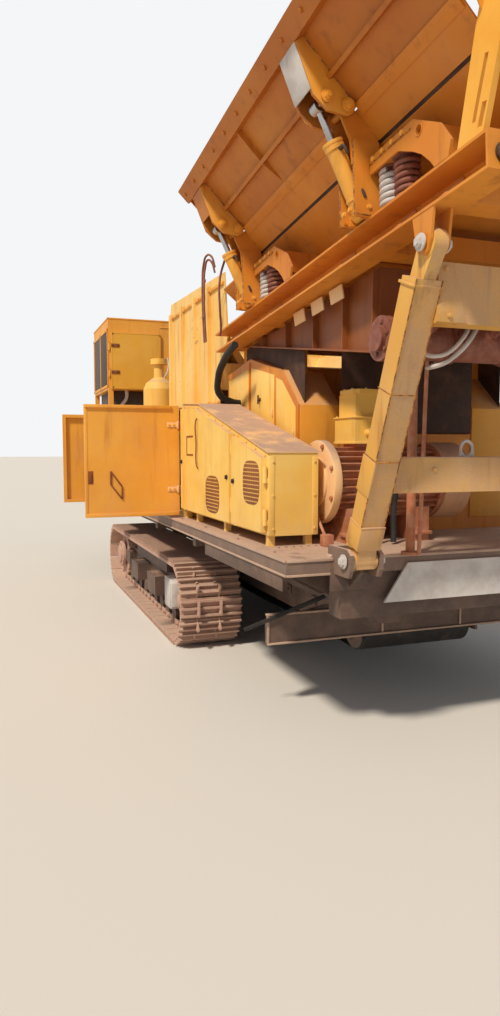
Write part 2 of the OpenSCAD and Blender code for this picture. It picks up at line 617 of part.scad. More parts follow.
module hopper_frame() {
  color([0.86, 0.55, 0.24]) on_feeder() for (s = [0, 1]) mirror([0, s, 0]) {
    wall_plate([[0, -8], [-8, -8], [-8, -175], [0, -175]], 600, 600 + wall_len);
    for (q = [[606, arm_far - 92], [arm_far + 92, arm_near - 92], [arm_near + 92, 594 + wall_len]])
      wall_plate([[-7, -44], [-7, -12], [-13.5, -6], [-13.5, 14], [-18.5, 14], [-18.5, -8], [-13, -44]], q[0], q[1]);
    for (u = [arm_near, arm_far]) {
      for (d = [-1, 1]) {
        plate_x([[-1020, channel_h], [-890, channel_h], [-890, 487], [-1020, 487]],
          u + (d < 0 ? -lug_out - 15 : lug_out), u + (d < 0 ? -lug_out : lug_out + 15));
        plate_x([[-1020, 380], [-905, 380], [-886, 505], [-990, 610], [-hinge_y + 20, hinge_w + 24],
          [-hinge_y - 31, hinge_w - 8], [-1030, 487]], u + (d < 0 ? -lug_out : lug_in), u + (d < 0 ? -lug_in : lug_out));
        cyl_x(-hinge_y, hinge_w, 32, u + (d < 0 ? -lug_out : lug_in), u + (d < 0 ? -lug_in : lug_out));
      }
      box(u - lug_out, u + lug_out, -902, -890, channel_h, 487);
      cyl_x(-hinge_y, hinge_w, 18, u - 96, u + 96);
    }
  }
}
module rear_wall() {
  color([0.93, 0.74, 0.35]) on_feeder() {
    translate([3168, 0, 505]) rotate([0, 21.6, 0]) rotate([90, 0, 90]) linear_extrude(height = 8)
      polygon([[-880, 0], [880, 0], [1330, 478], [-1330, 478]]);
    for (s = [-1, 1]) difference() {
      plate_y([[3040, channel_h], [3190, channel_h], [3360, 600], [3430, 985], [3345, 985], [3166, 540]],
        s * 930 - 12, s * 930 + 12);
      plate_y([[3130, 200], [3150, 196], [3230, 400], [3210, 406]], s * 930 - 13, s * 930 + 13);
      plate_y([[3160, 170], [3185, 165], [3215, 240], [3190, 246]], s * 930 - 13, s * 930 + 13);
    }
    for (z = [20, 200, 400]) translate([3168, 0, 505]) rotate([0, 21.6, 0]) box(8, 60, -918, 918, z, z + 40);
  }
}
module cyl_axis(u) {
  translate([u, -eye_y, eye_w]) rotate([cyl_ang, 0, 0]) children();
}
module barrel(u) {
  on_feeder() cyl_axis(u) difference() {
    union() {
      cylinder(r = 42.5, h = 335);
      translate([0, 0, 300]) cylinder(r = 48, h = 35);
      translate([-42, 0, 0]) rotate([0, 90, 0]) cylinder(r = 34, h = 84);
    }
    translate([0, 0, 22]) cylinder(r = 18.3, h = 320);
    translate([-50, 0, 0]) rotate([0, 90, 0]) cylinder(r = 15, h = 100);
  }
}
module barrels_right() {
  color([0.88, 0.60, 0.30]) for (u = [arm_near, arm_far]) barrel(u);
  color([0.4, 0.4, 0.4]) on_feeder() for (u = [arm_near, arm_far]) cyl_x(-eye_y, eye_w, 15, u - 61, u + 61);
}
module barrels_left() {
  right_side() barrels_right();
}
module rod(u) {
  color([0.75, 0.75, 0.77]) on_feeder() cyl_axis(u) difference() {
    union() {
      translate([0, 0, 165]) cylinder(r = 18, h = cyl_len - 165);
      translate([-30, 0, cyl_len]) rotate([0, 90, 0]) cylinder(r = 32, h = 60);
    }
    translate([-50, 0, cyl_len]) rotate([0, 90, 0]) cylinder(r = 16, h = 100);
  }
}
module rod_right_near() {
  rod(arm_near);
}
module rod_right_far() {
  rod(arm_far);
}
module rod_left_near() {
  right_side() rod(arm_near);
}
module rod_left_far() {
  right_side() rod(arm_far);
}

// Portal at the feed end
module portal_frame() {
  color([0.93, 0.72, 0.34]) {
    for (s = [-1, 1]) {
      difference() {
        plate_y([[3950, 1125], [4060, 1115], [head_x + 140, head_z - 90], [head_x + 30, head_z - 50]], s * 900 - 62, s * 900 + 62);
        plate_y([[3958, 1140], [4052, 1130], [head_x + 130, head_z - 94], [head_x + 36, head_z - 62]], s * 900 - 52, s * 900 + 52);
      }
      difference() {
        union() {
          plate_y([[3965, 1010], [4035, 1010], [4060, 1115], [3950, 1125]], s * 900 - 50, s * 900 + 50);
          cyl_y(4000, 1050, 45, s * 900 - 66, s * 900 + 66);
        }
        cyl_y(4000, 1050, 20, s * 900 - 120, s * 900 + 120);
      }
      plate_y([[head_x + 34, head_z - 62], [head_x + 120, head_z - 114], [head_x + 210, head_z + 18],
        [head_x + 104, head_z + 82]], s * 900 - 30, s * 900 + 30);
      cyl_y(head_x + 157, head_z + 50, 62, s * 900 - 33, s * 900 + 33);
      cyl_y(head_x + 157, head_z + 50, 22, s * 900 - 58, s * 900 + 58);
    }
    plate_y([[4060, 1390], [4160, 1390], [4160, 1556], [4060, 1556]], -838, 838);
    plate_y([[head_x, head_z - 250], [head_x + 100, head_z - 250], [head_x + 100, head_z], [head_x, head_z]], -838, 838);
  }
}

// Cabinets and housings
module tall_cabinet() {
  color([0.93, 0.62, 0.24]) {
    for (x = [-3600, -2360]) for (y = [-1150, 460]) box(x, x + 60, y, y + 60, deck_top, 3280);
    difference() {
      box(-3600, -2300, -1150, 520, 2370, 3200);
      box(-3588, -2312, -1138, 508, 2382, 3188);
      box(-2313, -2299, -1105, -490, 2400, 3080);
    }
    for (y = [-1150, 512]) box(-3600, -2300, y, y + 8, 3200, 3280);
    for (x = [-3600, -2308]) box(x, x + 8, -1150, 520, 3200, 3280);
    for (z = [2560, 2900]) hinge_seat(-2280, -1140, z, -2300, -1140);
    box(-3540, -2360, -1150, -1142, deck_top, 1500);
    box(-3400, -2500, -1080, -520, deck_top, 2050);
    box(-3300, -2600, -1000, -600, 2050, 2370);
  }
}
module tall_cabinet_door() {
  color([0.86, 0.60, 0.20]) {
    difference() {
      box(-2295, -2265, -1120, -467, 2375, 3100);
      box(-2296, -2272, -1102, -485, 2393, 3082);
    }
    for (z = [2560, 2900]) hinge_leaf(-2280, -1140, z, -2280, -1119);
    box(-2265, -2245, -540, -500, 2700, 2790);
  }
}
module power_house_right() {
  color([0.92, 0.62, 0.24]) difference() {
    box(-2250, -260, -1130, -500, deck_top, 1950);
    box(-2240, -270, -1118, -512, deck_top + 12, 1938);
    for (x = [-1980, -1380, -780]) for (i = [0:7])
      box(x - 170, x + 170, -1131, -1117, 1240 + i * 60, 1262 + i * 60);
    for (i = [0:7]) box(-1900 + i * 60, -1878 + i * 60, -1000, -640, 1937, 1951);
  }
}
module power_house_left() {
  color([0.92, 0.62, 0.24]) {
    difference() {
      box(-3600, -300, 570, 1130, deck_top, 2100);
      box(-3588, -312, 582, 1118, deck_top + 12, 2088);
      for (x = [-3200, -2500, -1800]) for (i = [0:7])
        box(x - 200, x + 200, 1117, 1131, 1300 + i * 70, 1325 + i * 70);
    }
    cyl_z(-1500, 850, 70, 2100, 2500);
    cyl_z(-1500, 850, 110, 2180, 2420);
  }
}
module air_cleaner() {
  color([0.96, 0.84, 0.45]) {
    cyl_z(-700, -850, 170, 1950, 2250);
    translate([-700, -850, 2250]) rotate_extrude() polygon([[0, 0], [170, 0], [140, 70], [60, 130], [0, 130]]);
    cyl_z(-700, -850, 55, 2380, 2520);
    cyl_z(-700, -850, 90, 2520, 2580);
  }
}
module off_side_guard() {
  color([0.93, 0.75, 0.36]) difference() {
    box(bay_x0, bay_x1, -guard_y1, -guard_y0, deck_top, 1960);
    box(bay_x0 + 12, bay_x1 - 12, -guard_y1 - 1, -guard_y0 - 12, deck_top + 12, 1948);
    for (i = [0:9]) box(250 + i * 80, 280 + i * 80, -guard_y0 - 13, -guard_y0 + 1, 1250, 1750);
  }
}
module feed_chute() {
  color([0.95, 0.80, 0.38]) {
    for (s = [0, 1]) mirror([0, s, 0]) {
      plate_y([[-150, 1965], [1500, 1965], [1560, 2280], [1722, 2330], [1722, 2500], [1650, 2980], [-100, 3050],
        [-150, 2900]], -852, -840);
      plate_x([[-560, 2080], [-480, 2080], [-480, 2110], [-820, 2600], [-840, 2600], [-840, 2560]], -150, 1500);
      for (x = [-60, 380, 820, 1260]) box(x - 30, x + 30, -882, -852, 1990, 2940);
    }
    box(-150, -130, -840, 840, 2560, 2900);
    plate_y([[-50, 2080], [40, 2080], [40, 2110], [-130, 2600], [-150, 2600], [-150, 2560]], -840, 840);
    plate_y([[1380, 2080], [1500, 2080], [1560, 2280], [1548, 2290], [1380, 2110]], -840, 840);
  }
}

// Main conveyor
module on_ramp() {
  translate([knee_x, 0, belt_z]) rotate([0, ramp, 0]) children();
}
function ramp_point(x, z) = [knee_x + x * cos(ramp) + z * sin(ramp), belt_z - x * sin(ramp) + z * cos(ramp)];
function belt_side(r) =
  let (h = ramp_point(-ramp_len, -drum_r), up = r - drum_r, down = r + drum_r)
  concat(
    [for (a = [-90:7.5:90]) [tail_x + r * cos(a), belt_z - drum_r + r * sin(a)]],
    [[knee_x + up * tan(ramp / 2), belt_z + up]],
    [for (a = [90:7.5:270]) [h[0] + r * cos(a - ramp), h[1] + r * sin(a - ramp)]],
    [[knee_x - down * tan(ramp / 2), belt_z - down]]);
module conveyor_belt() {
  color([0.15, 0.15, 0.15]) translate([0, 400, 0]) rotate([90, 0, 0]) linear_extrude(height = 800) difference() {
    polygon(belt_side(drum_r + 12));
    polygon(belt_side(drum_r + 0.4));
  }
}
module conveyor_drums() {
  color([0.35, 0.33, 0.32]) {
    cyl_y(tail_x, belt_z - drum_r, drum_r, -405, 405);
    cyl_y(tail_x, belt_z - drum_r, 35, -430, 430);
    on_ramp() {
      cyl_y(-ramp_len, -drum_r, drum_r, -405, 405);
      cyl_y(-ramp_len, -drum_r, 35, -430, 430);
    }
  }
}
module conveyor_frame() {
  color([0.55, 0.45, 0.38]) {
    for (s = [-1, 1]) {
      plate_y([[3160, belt_z - 175], [3160, belt_z + 110], [knee_x + 110 * tan(ramp / 2), belt_z + 110],
        ramp_point(-ramp_len - 60, 110), ramp_point(-ramp_len - 60, -175),
        [knee_x - 175 * tan(ramp / 2), belt_z - 175]], s < 0 ? -450 : 430, s < 0 ? -430 : 450);
      for (x = [2800, 1500]) box(x - 60, x + 60, s < 0 ? -480 : 450, s < 0 ? -450 : 480, belt_z + 60, belt_z + 110);
      box(-3690, -3610, s < 0 ? -560 : 480, s < 0 ? -480 : 560, deck_top, 1960);
      box(-3690, -3610, s < 0 ? -560 : 450, s < 0 ? -450 : 560, 1860, 1960);
    }
    for (x = [700:450:2850]) cyl_y(x, belt_z - 45, 45, -431, 431);
    on_ramp() for (i = [1:floor((ramp_len - drum_r - 200) / 520)]) cyl_y(-i * 520, -45, 45, -431, 431);
    box(3160, 3176, -1080, 1080, 430, 610);
    for (s = [-1, 1])
      plate_x([[s * 1080, 430], [s * 450, 430], [s * 450, 636], [s * 700, 636], [s * 1080, 560]], 3140, 3160);
  }
}
module apron_plate() {
  color([0.62, 0.60, 0.58]) {
    plate_x([[-700, 800], [-560, deck_z + 40], [700, deck_z + 40], [700, 800]], deck_front, deck_front + 14);
  }
}

chassis_frame();
deck();
track_frame_right();
track_frame_left();
track_chain_right();
track_chain_left();
track_wheels_right();
track_wheels_left();
belt_guard();
guard_door_near();
guard_door_far();
bay_door_near();
bay_door_far();
off_side_guard();
crusher_body();
fixed_jaw();
swing_jaw();
drive_flywheel();
plain_flywheel();
drive_belts();
motor_pulley();
motor_body();
motor_cowl();
terminal_box();
feeder_support();
fines_chute();
vibrator_drive();
feeder_frame();
feeder_trough();
springs();
exciter();
hopper_wall_right();
hopper_wall_left();
hopper_frame();
rear_wall();
barrels_right();
barrels_left();
rod_right_near();
rod_right_far();
rod_left_near();
rod_left_far();
portal_frame();
tall_cabinet();
tall_cabinet_door();
power_house_right();
power_house_left();
air_cleaner();
feed_chute();
conveyor_belt();
conveyor_drums();
conveyor_frame();
apron_plate();
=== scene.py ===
# %% [markdown]
# # A tracked jaw crusher
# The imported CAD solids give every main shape. This lesson dresses them: it sets the camera where the
# photograph was taken, gives each steel sheet and casting its weathered finish, and adds the bolts,
# springs, seams and hoses that are too small or too free in form for the solids.

# %% The frame
import json
import math

import bmesh
import bpy
from mathutils import Matrix, Vector


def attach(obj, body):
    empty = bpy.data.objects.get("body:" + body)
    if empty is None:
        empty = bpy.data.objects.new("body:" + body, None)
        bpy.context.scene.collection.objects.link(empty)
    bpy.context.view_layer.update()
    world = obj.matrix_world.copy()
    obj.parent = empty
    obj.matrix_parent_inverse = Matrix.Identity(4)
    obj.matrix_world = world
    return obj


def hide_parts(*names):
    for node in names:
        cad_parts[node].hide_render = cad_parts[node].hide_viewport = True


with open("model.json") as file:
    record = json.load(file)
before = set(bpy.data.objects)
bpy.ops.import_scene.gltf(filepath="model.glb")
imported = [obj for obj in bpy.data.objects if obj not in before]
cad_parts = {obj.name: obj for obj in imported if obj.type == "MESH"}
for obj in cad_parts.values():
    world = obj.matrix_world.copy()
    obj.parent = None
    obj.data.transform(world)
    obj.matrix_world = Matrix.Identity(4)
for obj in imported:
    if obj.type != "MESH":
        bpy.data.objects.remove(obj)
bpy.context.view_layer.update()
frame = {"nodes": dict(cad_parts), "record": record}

nodes = frame["nodes"]

# %% [markdown]
# ## Camera
# The photograph was taken standing at the feed end, 1.6 m above the ground. The machine's own parallel
# lines gave the spot, the direction and the lens. The picture is upright, so the lens is measured on
# its long side.

# %% Camera
EYE = Vector((7.10, -2.61, 1.60))
PICTURE_ROWS = 1016
FOCAL_ROWS = 714  # the lens, measured in rows of the picture
HORIZON_ROW = 449
YAW = math.radians(19.9)
PITCH = math.atan((PICTURE_ROWS / 2 - HORIZON_ROW) / FOCAL_ROWS)
look = Vector((-math.cos(YAW) * math.cos(PITCH), math.sin(YAW) * math.cos(PITCH), -math.sin(PITCH)))
camera_data = bpy.data.cameras.new("camera")
camera_data.sensor_fit = "VERTICAL"
camera_data.sensor_height = 36
camera_data.lens = FOCAL_ROWS * camera_data.sensor_height / PICTURE_ROWS
camera_data.clip_end = 400
camera = bpy.data.objects.new("camera", camera_data)
camera.location = EYE
camera.rotation_euler = look.to_track_quat("-Z", "Y").to_euler()
bpy.context.scene.collection.objects.link(camera)
bpy.context.scene.camera = camera
print("lens", round(camera_data.lens, 2), "mm")

# %% [markdown]
# ## Colour and nodes
# Colours are written as the sRGB hex values that a colour picker shows. Blender mixes light in linear
# numbers, so one function turns them. A second small function adds a node, sets its values and joins
# its inputs, which keeps each material short enough to read.


# %% Helpers for materials
def linear(hex_colour):
    """An sRGB hex colour as linear red, green, blue and alpha."""
    parts = [int(hex_colour[i:i + 2], 16) / 255 for i in (1, 3, 5)]
    return [c / 12.92 if c <= 0.04045 else ((c + 0.055) / 1.055) ** 2.4 for c in parts] + [1]


def add(tree, kind, links=None, **settings):
    """A node of that kind, with its settings, and its inputs joined to other sockets or set to values."""
    node = tree.nodes.new(kind)
    for key, value in settings.items():
        setattr(node, key, value)
    for key, value in (links or {}).items():
        if isinstance(value, bpy.types.NodeSocket):
            tree.links.new(value, node.inputs[key])
        else:
            node.inputs[key].default_value = value
    return node


def blank(name):
    """An empty material with its output, and the tree to fill."""
    material = bpy.data.materials.new(name)
    material.use_nodes = True
    material.node_tree.nodes.clear()
    return material, material.node_tree


def noise(tree, vector, size_mm, detail=4.0, rough=0.55, stretch=(1, 1, 1)):
    """Noise whose blotches are about size_mm wide, stretched along each axis."""
    scale = [1000 / size_mm / s for s in stretch]
    turned = add(tree, "ShaderNodeMapping", {"Vector": vector, "Scale": scale})
    return add(tree, "ShaderNodeTexNoise", {"Vector": turned.outputs[0], "Scale": 1.0, "Detail": detail,
                                            "Roughness": rough}).outputs["Fac"]


def step(tree, value, low, high):
    """0 below low, 1 above high, smooth between."""
    return add(tree, "ShaderNodeMapRange", {"Value": value, "From Min": low, "From Max": high},
               interpolation_type="SMOOTHSTEP").outputs[0]


def times(tree, a, b, operation="MULTIPLY"):
    return add(tree, "ShaderNodeMath", {0: a, 1: b}, operation=operation, use_clamp=True).outputs[0]


def mix(tree, factor, a, b, blend="MIX"):
    """Colour a, with b laid over it where factor is high."""
    node = add(tree, "ShaderNodeMix", {0: factor, 6: a, 7: b}, data_type="RGBA", blend_type=blend)
    return node.outputs[2]


# %% [markdown]
# ## Sun-faded enamel
# The sheet metal is sprayed with yellow machine enamel that years of sun have chalked. Rain has drawn
# streaks down it, quarry dust lies on every face that looks up and clings to the low parts, and chips
# show brown rust. Each layer is a mask between two colours, so the same recipe gives every shade.


# %% Enamel
def enamel(name, fresh, faded, shade="#8a4a1c", dust=0.6, chips=0.5, streaks=0.5, rough=0.55, feed_end_dust=0.0):
    material, tree = blank(name)
    place = add(tree, "ShaderNodeTexCoord")
    spot, normal = place.outputs["Object"], place.outputs["Normal"]
    up = add(tree, "ShaderNodeSeparateXYZ", {"Vector": normal}).outputs["Z"]
    height = add(tree, "ShaderNodeSeparateXYZ", {"Vector": spot}).outputs["Z"]
    broad = noise(tree, spot, 700, 5, 0.6)
    colour = mix(tree, step(tree, broad, 0.38, 0.66), linear(fresh), linear(faded))
    run = noise(tree, spot, 90, 4, 0.6, (1, 1, 9))
    run_mask = times(tree, step(tree, run, 0.52, 0.78), streaks)
    colour = mix(tree, run_mask, colour, linear(shade))
    stain = noise(tree, spot, 260, 6, 0.7)
    colour = mix(tree, times(tree, step(tree, stain, 0.56, 0.8), 0.5 * streaks), colour, linear(shade))
    fine = noise(tree, spot, 60, 9, 0.78)
    group = step(tree, noise(tree, spot, 330, 3, 0.5), 0.52, 0.70)
    chip = times(tree, step(tree, fine, 0.67 - 0.03 * chips, 0.69 - 0.03 * chips), group)
    colour = mix(tree, times(tree, chip, min(0.85, chips * 1.2)), colour, linear("#6d4029"))
    lying = times(tree, step(tree, up, 0.25, 0.8), step(tree, noise(tree, spot, 180, 5, 0.6), 0.25, 0.55))
    low = times(tree, step(tree, height, 1.7, 0.9), step(tree, noise(tree, spot, 240, 5, 0.65), 0.35, 0.65))
    film = step(tree, noise(tree, spot, 420, 6, 0.65), 0.45, 0.75)
    lying = times(tree, lying, min(1.0, dust * 1.35))
    low = times(tree, low, dust * 0.45)
    film = times(tree, film, dust * 0.35)
    cover = times(tree, times(tree, lying, low, "MAXIMUM"), film, "MAXIMUM")
    # Dust on the faces that look along +X, towards the feed end
    ahead = add(tree, "ShaderNodeSeparateXYZ", {"Vector": normal}).outputs["X"]
    feed_end_dust_mask = times(tree, step(tree, ahead, 0.3, 0.9), step(tree, noise(tree, spot, 300, 4, 0.6), 0.2, 0.6))
    cover = times(tree, cover, times(tree, feed_end_dust_mask, feed_end_dust), "MAXIMUM")
    grain = mix(tree, noise(tree, spot, 9, 3, 0.5), linear("#a88673"), linear("#c9aa94"))
    colour = mix(tree, cover, colour, grain)
    roughness = add(tree, "ShaderNodeMapRange", {"Value": cover, "To Min": rough, "To Max": 0.95})
    dents = noise(tree, spot, 160, 2, 0.4)
    peel = noise(tree, spot, 5, 2, 0.5)
    relief = times(tree, times(tree, dents, 0.8), times(tree, peel, 0.12), "ADD")
    bump = add(tree, "ShaderNodeBump", {"Height": relief, "Strength": 0.35, "Distance": 0.006})
    shader = add(tree, "ShaderNodeBsdfPrincipled", {"Base Color": colour, "Roughness": roughness.outputs[0],
                                                    "Normal": bump.outputs[0], "IOR": 1.5})
    add(tree, "ShaderNodeOutputMaterial", {"Surface": shader.outputs[0]})
    return material


# Sprayed alkyd enamel, satin to chalky: the fresher the coat, the deeper and redder its yellow.
# The deep orange is painted shade, on the feeder's support, frame and trough and the hopper frame
yellow = enamel("yellow_machine_enamel", "#eaa02c", "#f2b44a", dust=0.45)
pale = enamel("chalked_pale_enamel", "#f0bd55", "#f5cd74", shade="#b8741f", dust=0.5, streaks=0.35)
orange = enamel("orange_yellow_enamel", "#e49b30", "#ecab43", shade="#a05c1c", dust=0.4)
deep_orange = enamel("deep_orange_enamel", "#cf7b1d", "#db8d2d", shade="#84410f", dust=0.3)
print("four enamels")

# %% [markdown]
# ## Steel under dust
# The chassis, tracks and castings have lost most of their paint. They are rust-brown steel with a thick
# coat of pinkish quarry dust, so the metal only glints where something rubs it.


# %% Dusty steel
def dusty_steel(name, metal, rust, dust="#b0917d", cover=0.6, bare=0.0, rough=0.6, size=120, cling=0.4):
    material, tree = blank(name)
    place = add(tree, "ShaderNodeTexCoord")
    spot = place.outputs["Object"]
    up = add(tree, "ShaderNodeSeparateXYZ", {"Vector": place.outputs["Normal"]}).outputs["Z"]
    colour = mix(tree, step(tree, noise(tree, spot, size, 6, 0.65), 0.4, 0.65), linear(metal), linear(rust))
    lying = step(tree, up, -0.1, 0.9)
    drift = step(tree, noise(tree, spot, size * 1.7, 6, 0.7), 0.62 - 0.4 * cover, 0.86 - 0.4 * cover)
    mask = times(tree, drift, times(tree, times(tree, lying, 1 - cling), cling, "ADD"))
    mask = times(tree, mask, min(1.0, cover * 1.4))
    grain = mix(tree, noise(tree, spot, 8, 3, 0.6), linear(dust), linear("#8f7464"))
    colour = mix(tree, mask, colour, grain)
    roughness = add(tree, "ShaderNodeMapRange", {"Value": mask, "To Min": rough, "To Max": 0.97})
    relief = noise(tree, spot, 14, 5, 0.7)
    bump = add(tree, "ShaderNodeBump", {"Height": relief, "Strength": 0.5, "Distance": 0.004})
    shader = add(tree, "ShaderNodeBsdfPrincipled", {"Base Color": colour, "Roughness": roughness.outputs[0],
                                                    "Normal": bump.outputs[0], "Metallic": bare})
    add(tree, "ShaderNodeOutputMaterial", {"Surface": shader.outputs[0]})
    return material


# Painted or bare steel: what differs is how much metal, rust and dust the eye meets
# Dark chassis paint, darkened further as painted shade on the chassis and the parts under the deck
chassis_coat = dusty_steel("dusty_chassis_paint_and_painted_shade", "#524038", "#614a3e", cover=0.55, cling=0.25)
track_iron = dusty_steel("rusted_cast_track_steel", "#b88d7c", "#c69e8c", dust="#dcbfa9", cover=0.85, size=60)
wear_iron = dusty_steel("worn_manganese_steel", "#6b6560", "#705a4c", cover=0.35, bare=0.5)
turned_iron = dusty_steel("dusty_cast_iron", "#5d5049", "#6e5040", cover=0.4, bare=0.3)
# Rust-brown spring steel; on the vibrator drive this brown is painted shade
rust_brown_and_shade = dusty_steel("rust_brown_spring_steel_and_painted_shade", "#7d4535", "#8f5a48", cover=0.35, size=40)
motor_coat = dusty_steel("faded_motor_enamel", "#b26a45", "#bf8464", dust="#cba890", cover=0.5, size=70)
grey_coat = dusty_steel("grey_painted_plate", "#d0cbc8", "#bfb8b3", dust="#d6c6ba", cover=0.4)
deck_coat = dusty_steel("dust_caked_deck_paint", "#66524a", "#755e50", dust="#dcbca4", cover=1.0, cling=0.12)
# Pale dusty paint for the deck and tail lips, its lightness partly dust and partly painted highlight; also
# the deck bolts and the dust crust
edge_coat = dusty_steel("dust_and_painted_highlight_edge_paint", "#a98b78", "#b89a86", dust="#dcc0aa", cover=0.8)
# Rubber and chromed or oiled steel take the same recipe with less dust
rubber = dusty_steel("black_belt_rubber", "#1c1a19", "#2a2624", cover=0.3, rough=0.75)
brown_rubber = dusty_steel("dust_browned_skirt_rubber_and_painted_shade", "#3a251c", "#4b3124", dust="#8c6650", cover=0.35,
                           rough=0.8)
chrome = dusty_steel("dusty_hard_chrome", "#b9b9bb", "#a9a6a4", cover=0.15, bare=1.0, rough=0.22)
dark_steel = dusty_steel("oiled_black_steel_and_painted_shade", "#33281f", "#4a3426", cover=0.25, size=30)
weld = dusty_steel("chipped_weld_bead", "#7a4a20", "#c98a35", cover=0.1, size=25)
# Further enamels: thick with dust, chipped by stone, bleached, dusted on faces towards the feed end, and
# darker copies as painted shade
dusty_pale = enamel("dust_laden_pale_enamel", "#edbd84", "#f1c995", shade="#b98650", dust=0.9, streaks=0.2)
# The louvre lips take a darker copy of the pale enamel, as painted shade
pale_lip = enamel("painted_shade_pale_enamel", "#d9a743", "#e2b458", shade="#a06a1c", dust=0.3, streaks=0.3)
olive = enamel("olive_yellow_enamel", "#dd9f2c", "#e6ad3e", shade="#a8741f", dust=0.2, streaks=0.3)
# Dark orange: the own colour of small fittings, and painted shade on the fines chute under the feeder
dark_orange = enamel("dark_orange_enamel_and_painted_shade", "#7f431a", "#8f5020", shade="#5e3013", dust=0.0)
chipped = enamel("chipped_pale_enamel", "#efbd5e", "#f4cb78", shade="#a8651f", dust=0.35, chips=2.2)
cream = enamel("sun_bleached_cream_enamel", "#d3a27c", "#dfb491", shade="#a8764e", dust=0.5, chips=0.3)
stop_red = enamel("signal_red_plastic", "#b3241a", "#bf3427", shade="#7a1812", dust=0.3, chips=0.1,
                  streaks=0.1, rough=0.4)
# The hopper walls' orange is darkened to paint the shade they lie in
wall_orange = enamel("painted_shade_orange_enamel", "#b8691c", "#c87d28", shade="#7c3d14", dust=0.12)
leg_yellow = enamel("weathered_yellow_enamel", "#d9a044", "#e4b257", shade="#8a5526", dust=0.6, chips=0.9,
                    streaks=0.7,
                    feed_end_dust=0.6)
print("dusty metals and worn enamels made")

# %% [markdown]
# ## Finishes on the CAD nodes
# The record names a material slot for each node. One table takes each slot to its finish.

# %% Finishes
FINISH = {
    "yellow_paint": yellow, "pale_yellow_paint": pale, "orange_paint": orange, "chassis_paint": chassis_coat,
    "track_steel": track_iron, "wear_steel": wear_iron, "machined_steel": turned_iron,
    "chrome_rod": chrome, "spring_steel": rust_brown_and_shade, "motor_paint": motor_coat,
    "belt_rubber": rubber, "grey_plate": grey_coat,
}
for part in frame["record"]["subparts"]:
    cad = nodes[part["node"]]
    cad.data.materials.clear()
    cad.data.materials.append(FINISH[part["material_slot"]])
# Darker finishes here are painted shade: the hopper walls, the feeder's support, frame and trough, the hopper
# frame, the fines chute and the vibrator drive
for name, coat in (("deck", deck_coat), ("hopper_wall_right", wall_orange), ("hopper_wall_left", wall_orange),
                   ("portal_frame", leg_yellow), ("feeder_support",
                                                  deep_orange), ("fines_chute", dark_orange),
                   ("feeder_frame", deep_orange), ("feeder_trough",
                                                   deep_orange), ("hopper_frame", deep_orange),
                   ("exciter", dark_orange), ("feed_chute", chipped), ("motor_cowl", cream),
                   ("tall_cabinet_door", olive), ("vibrator_drive", rust_brown_and_shade)):
    nodes[name].data.materials[0] = coat

# %% [markdown]
# ## Working by hand, in code
# Each added piece starts as a primitive at its size and place and is then shaped with Blender's own
# operators. A few small functions keep that short: they clear the selection, select faces or edges by
# a test, set a place into a mesh, give a finished piece its name, finish and body, and set copies of a
# small part at many places. Sizes are in millimetres, as on a drawing.


# %% Selecting, finishing and copying
def clear():
    """Nothing selected, so that the next operator acts on the new piece alone."""
    bpy.ops.object.select_all(action="DESELECT")


def edit(piece):
    """The piece alone, in edit mode, with nothing selected in it."""
    clear()
    piece.select_set(True)
    bpy.context.view_layer.objects.active = piece
    bpy.ops.object.mode_set(mode="EDIT")
    bpy.ops.mesh.select_all(action="DESELECT")


def pick(test, kind="FACE"):
    """In edit mode, select the faces or edges that pass a test."""
    bpy.ops.mesh.select_mode(type=kind)
    bpy.ops.mesh.select_all(action="DESELECT")
    mesh = bmesh.from_edit_mesh(bpy.context.object.data)
    for item in mesh.faces if kind == "FACE" else mesh.edges:
        if test(item):
            item.select_set(True)
    bmesh.update_edit_mesh(bpy.context.object.data)


def join(pieces):
    """Several loose pieces as one."""
    clear()
    for piece in pieces:
        piece.select_set(True)
    bpy.context.view_layer.objects.active = pieces[0]
    bpy.ops.object.join()
    return pieces[0]


def put(piece, place):
    """Set a place into the mesh. A mirrored place turns the faces inside out, so they are flipped back."""
    piece.data.transform(place)
    if place.determinant() < 0:
        piece.data.flip_normals()
    return piece


SLOT = {material.name: slot for slot, material in FINISH.items()}
for slot, coats in (("chassis_paint", (dark_steel, deck_coat, edge_coat)), ("belt_rubber", (brown_rubber,)),
                    ("yellow_paint", (weld, chipped, leg_yellow)),
                    ("pale_yellow_paint", (dusty_pale, pale_lip)),
                    ("orange_paint", (deep_orange, dark_orange, wall_orange, stop_red, cream, olive))):
    SLOT.update({coat.name: slot for coat in coats})


def finish(piece, name, coat, body="plant", smooth=40):
    """Put the place into the mesh, give the finish and the name, and let the piece ride."""
    clear()
    piece.select_set(True)
    bpy.context.view_layer.objects.active = piece
    bpy.ops.object.transform_apply(location=True, rotation=True, scale=True)
    piece.data.materials.clear()
    piece.data.materials.append(coat)
    bpy.ops.object.shade_smooth_by_angle(angle=math.radians(smooth))
    piece.name = piece.data.name = name
    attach(piece, body)
    return piece


def spread(master, places):
    """Copies of one small part, each with its own mesh, set at each place and joined."""
    clear()
    master.select_set(True)
    bpy.context.view_layer.objects.active = master
    bpy.ops.object.transform_apply(location=True, rotation=True, scale=True)
    twins = []
    for place in places:
        twin = master.copy()
        twin.data = master.data.copy()
        bpy.context.scene.collection.objects.link(put(twin, place))
        twins.append(twin)
    bpy.data.objects.remove(master)
    return join(twins)


# %% [markdown]
# ## Places on the machine
# The feeder and its frame slope 4.2 degrees, and a folding wall leans out at 46. A matrix for each lets
# a piece be placed in the feeder's own millimetres, along it (u), across (y) and up from it (w), or on
# the wall's outer face. The left side is the right side mirrored.

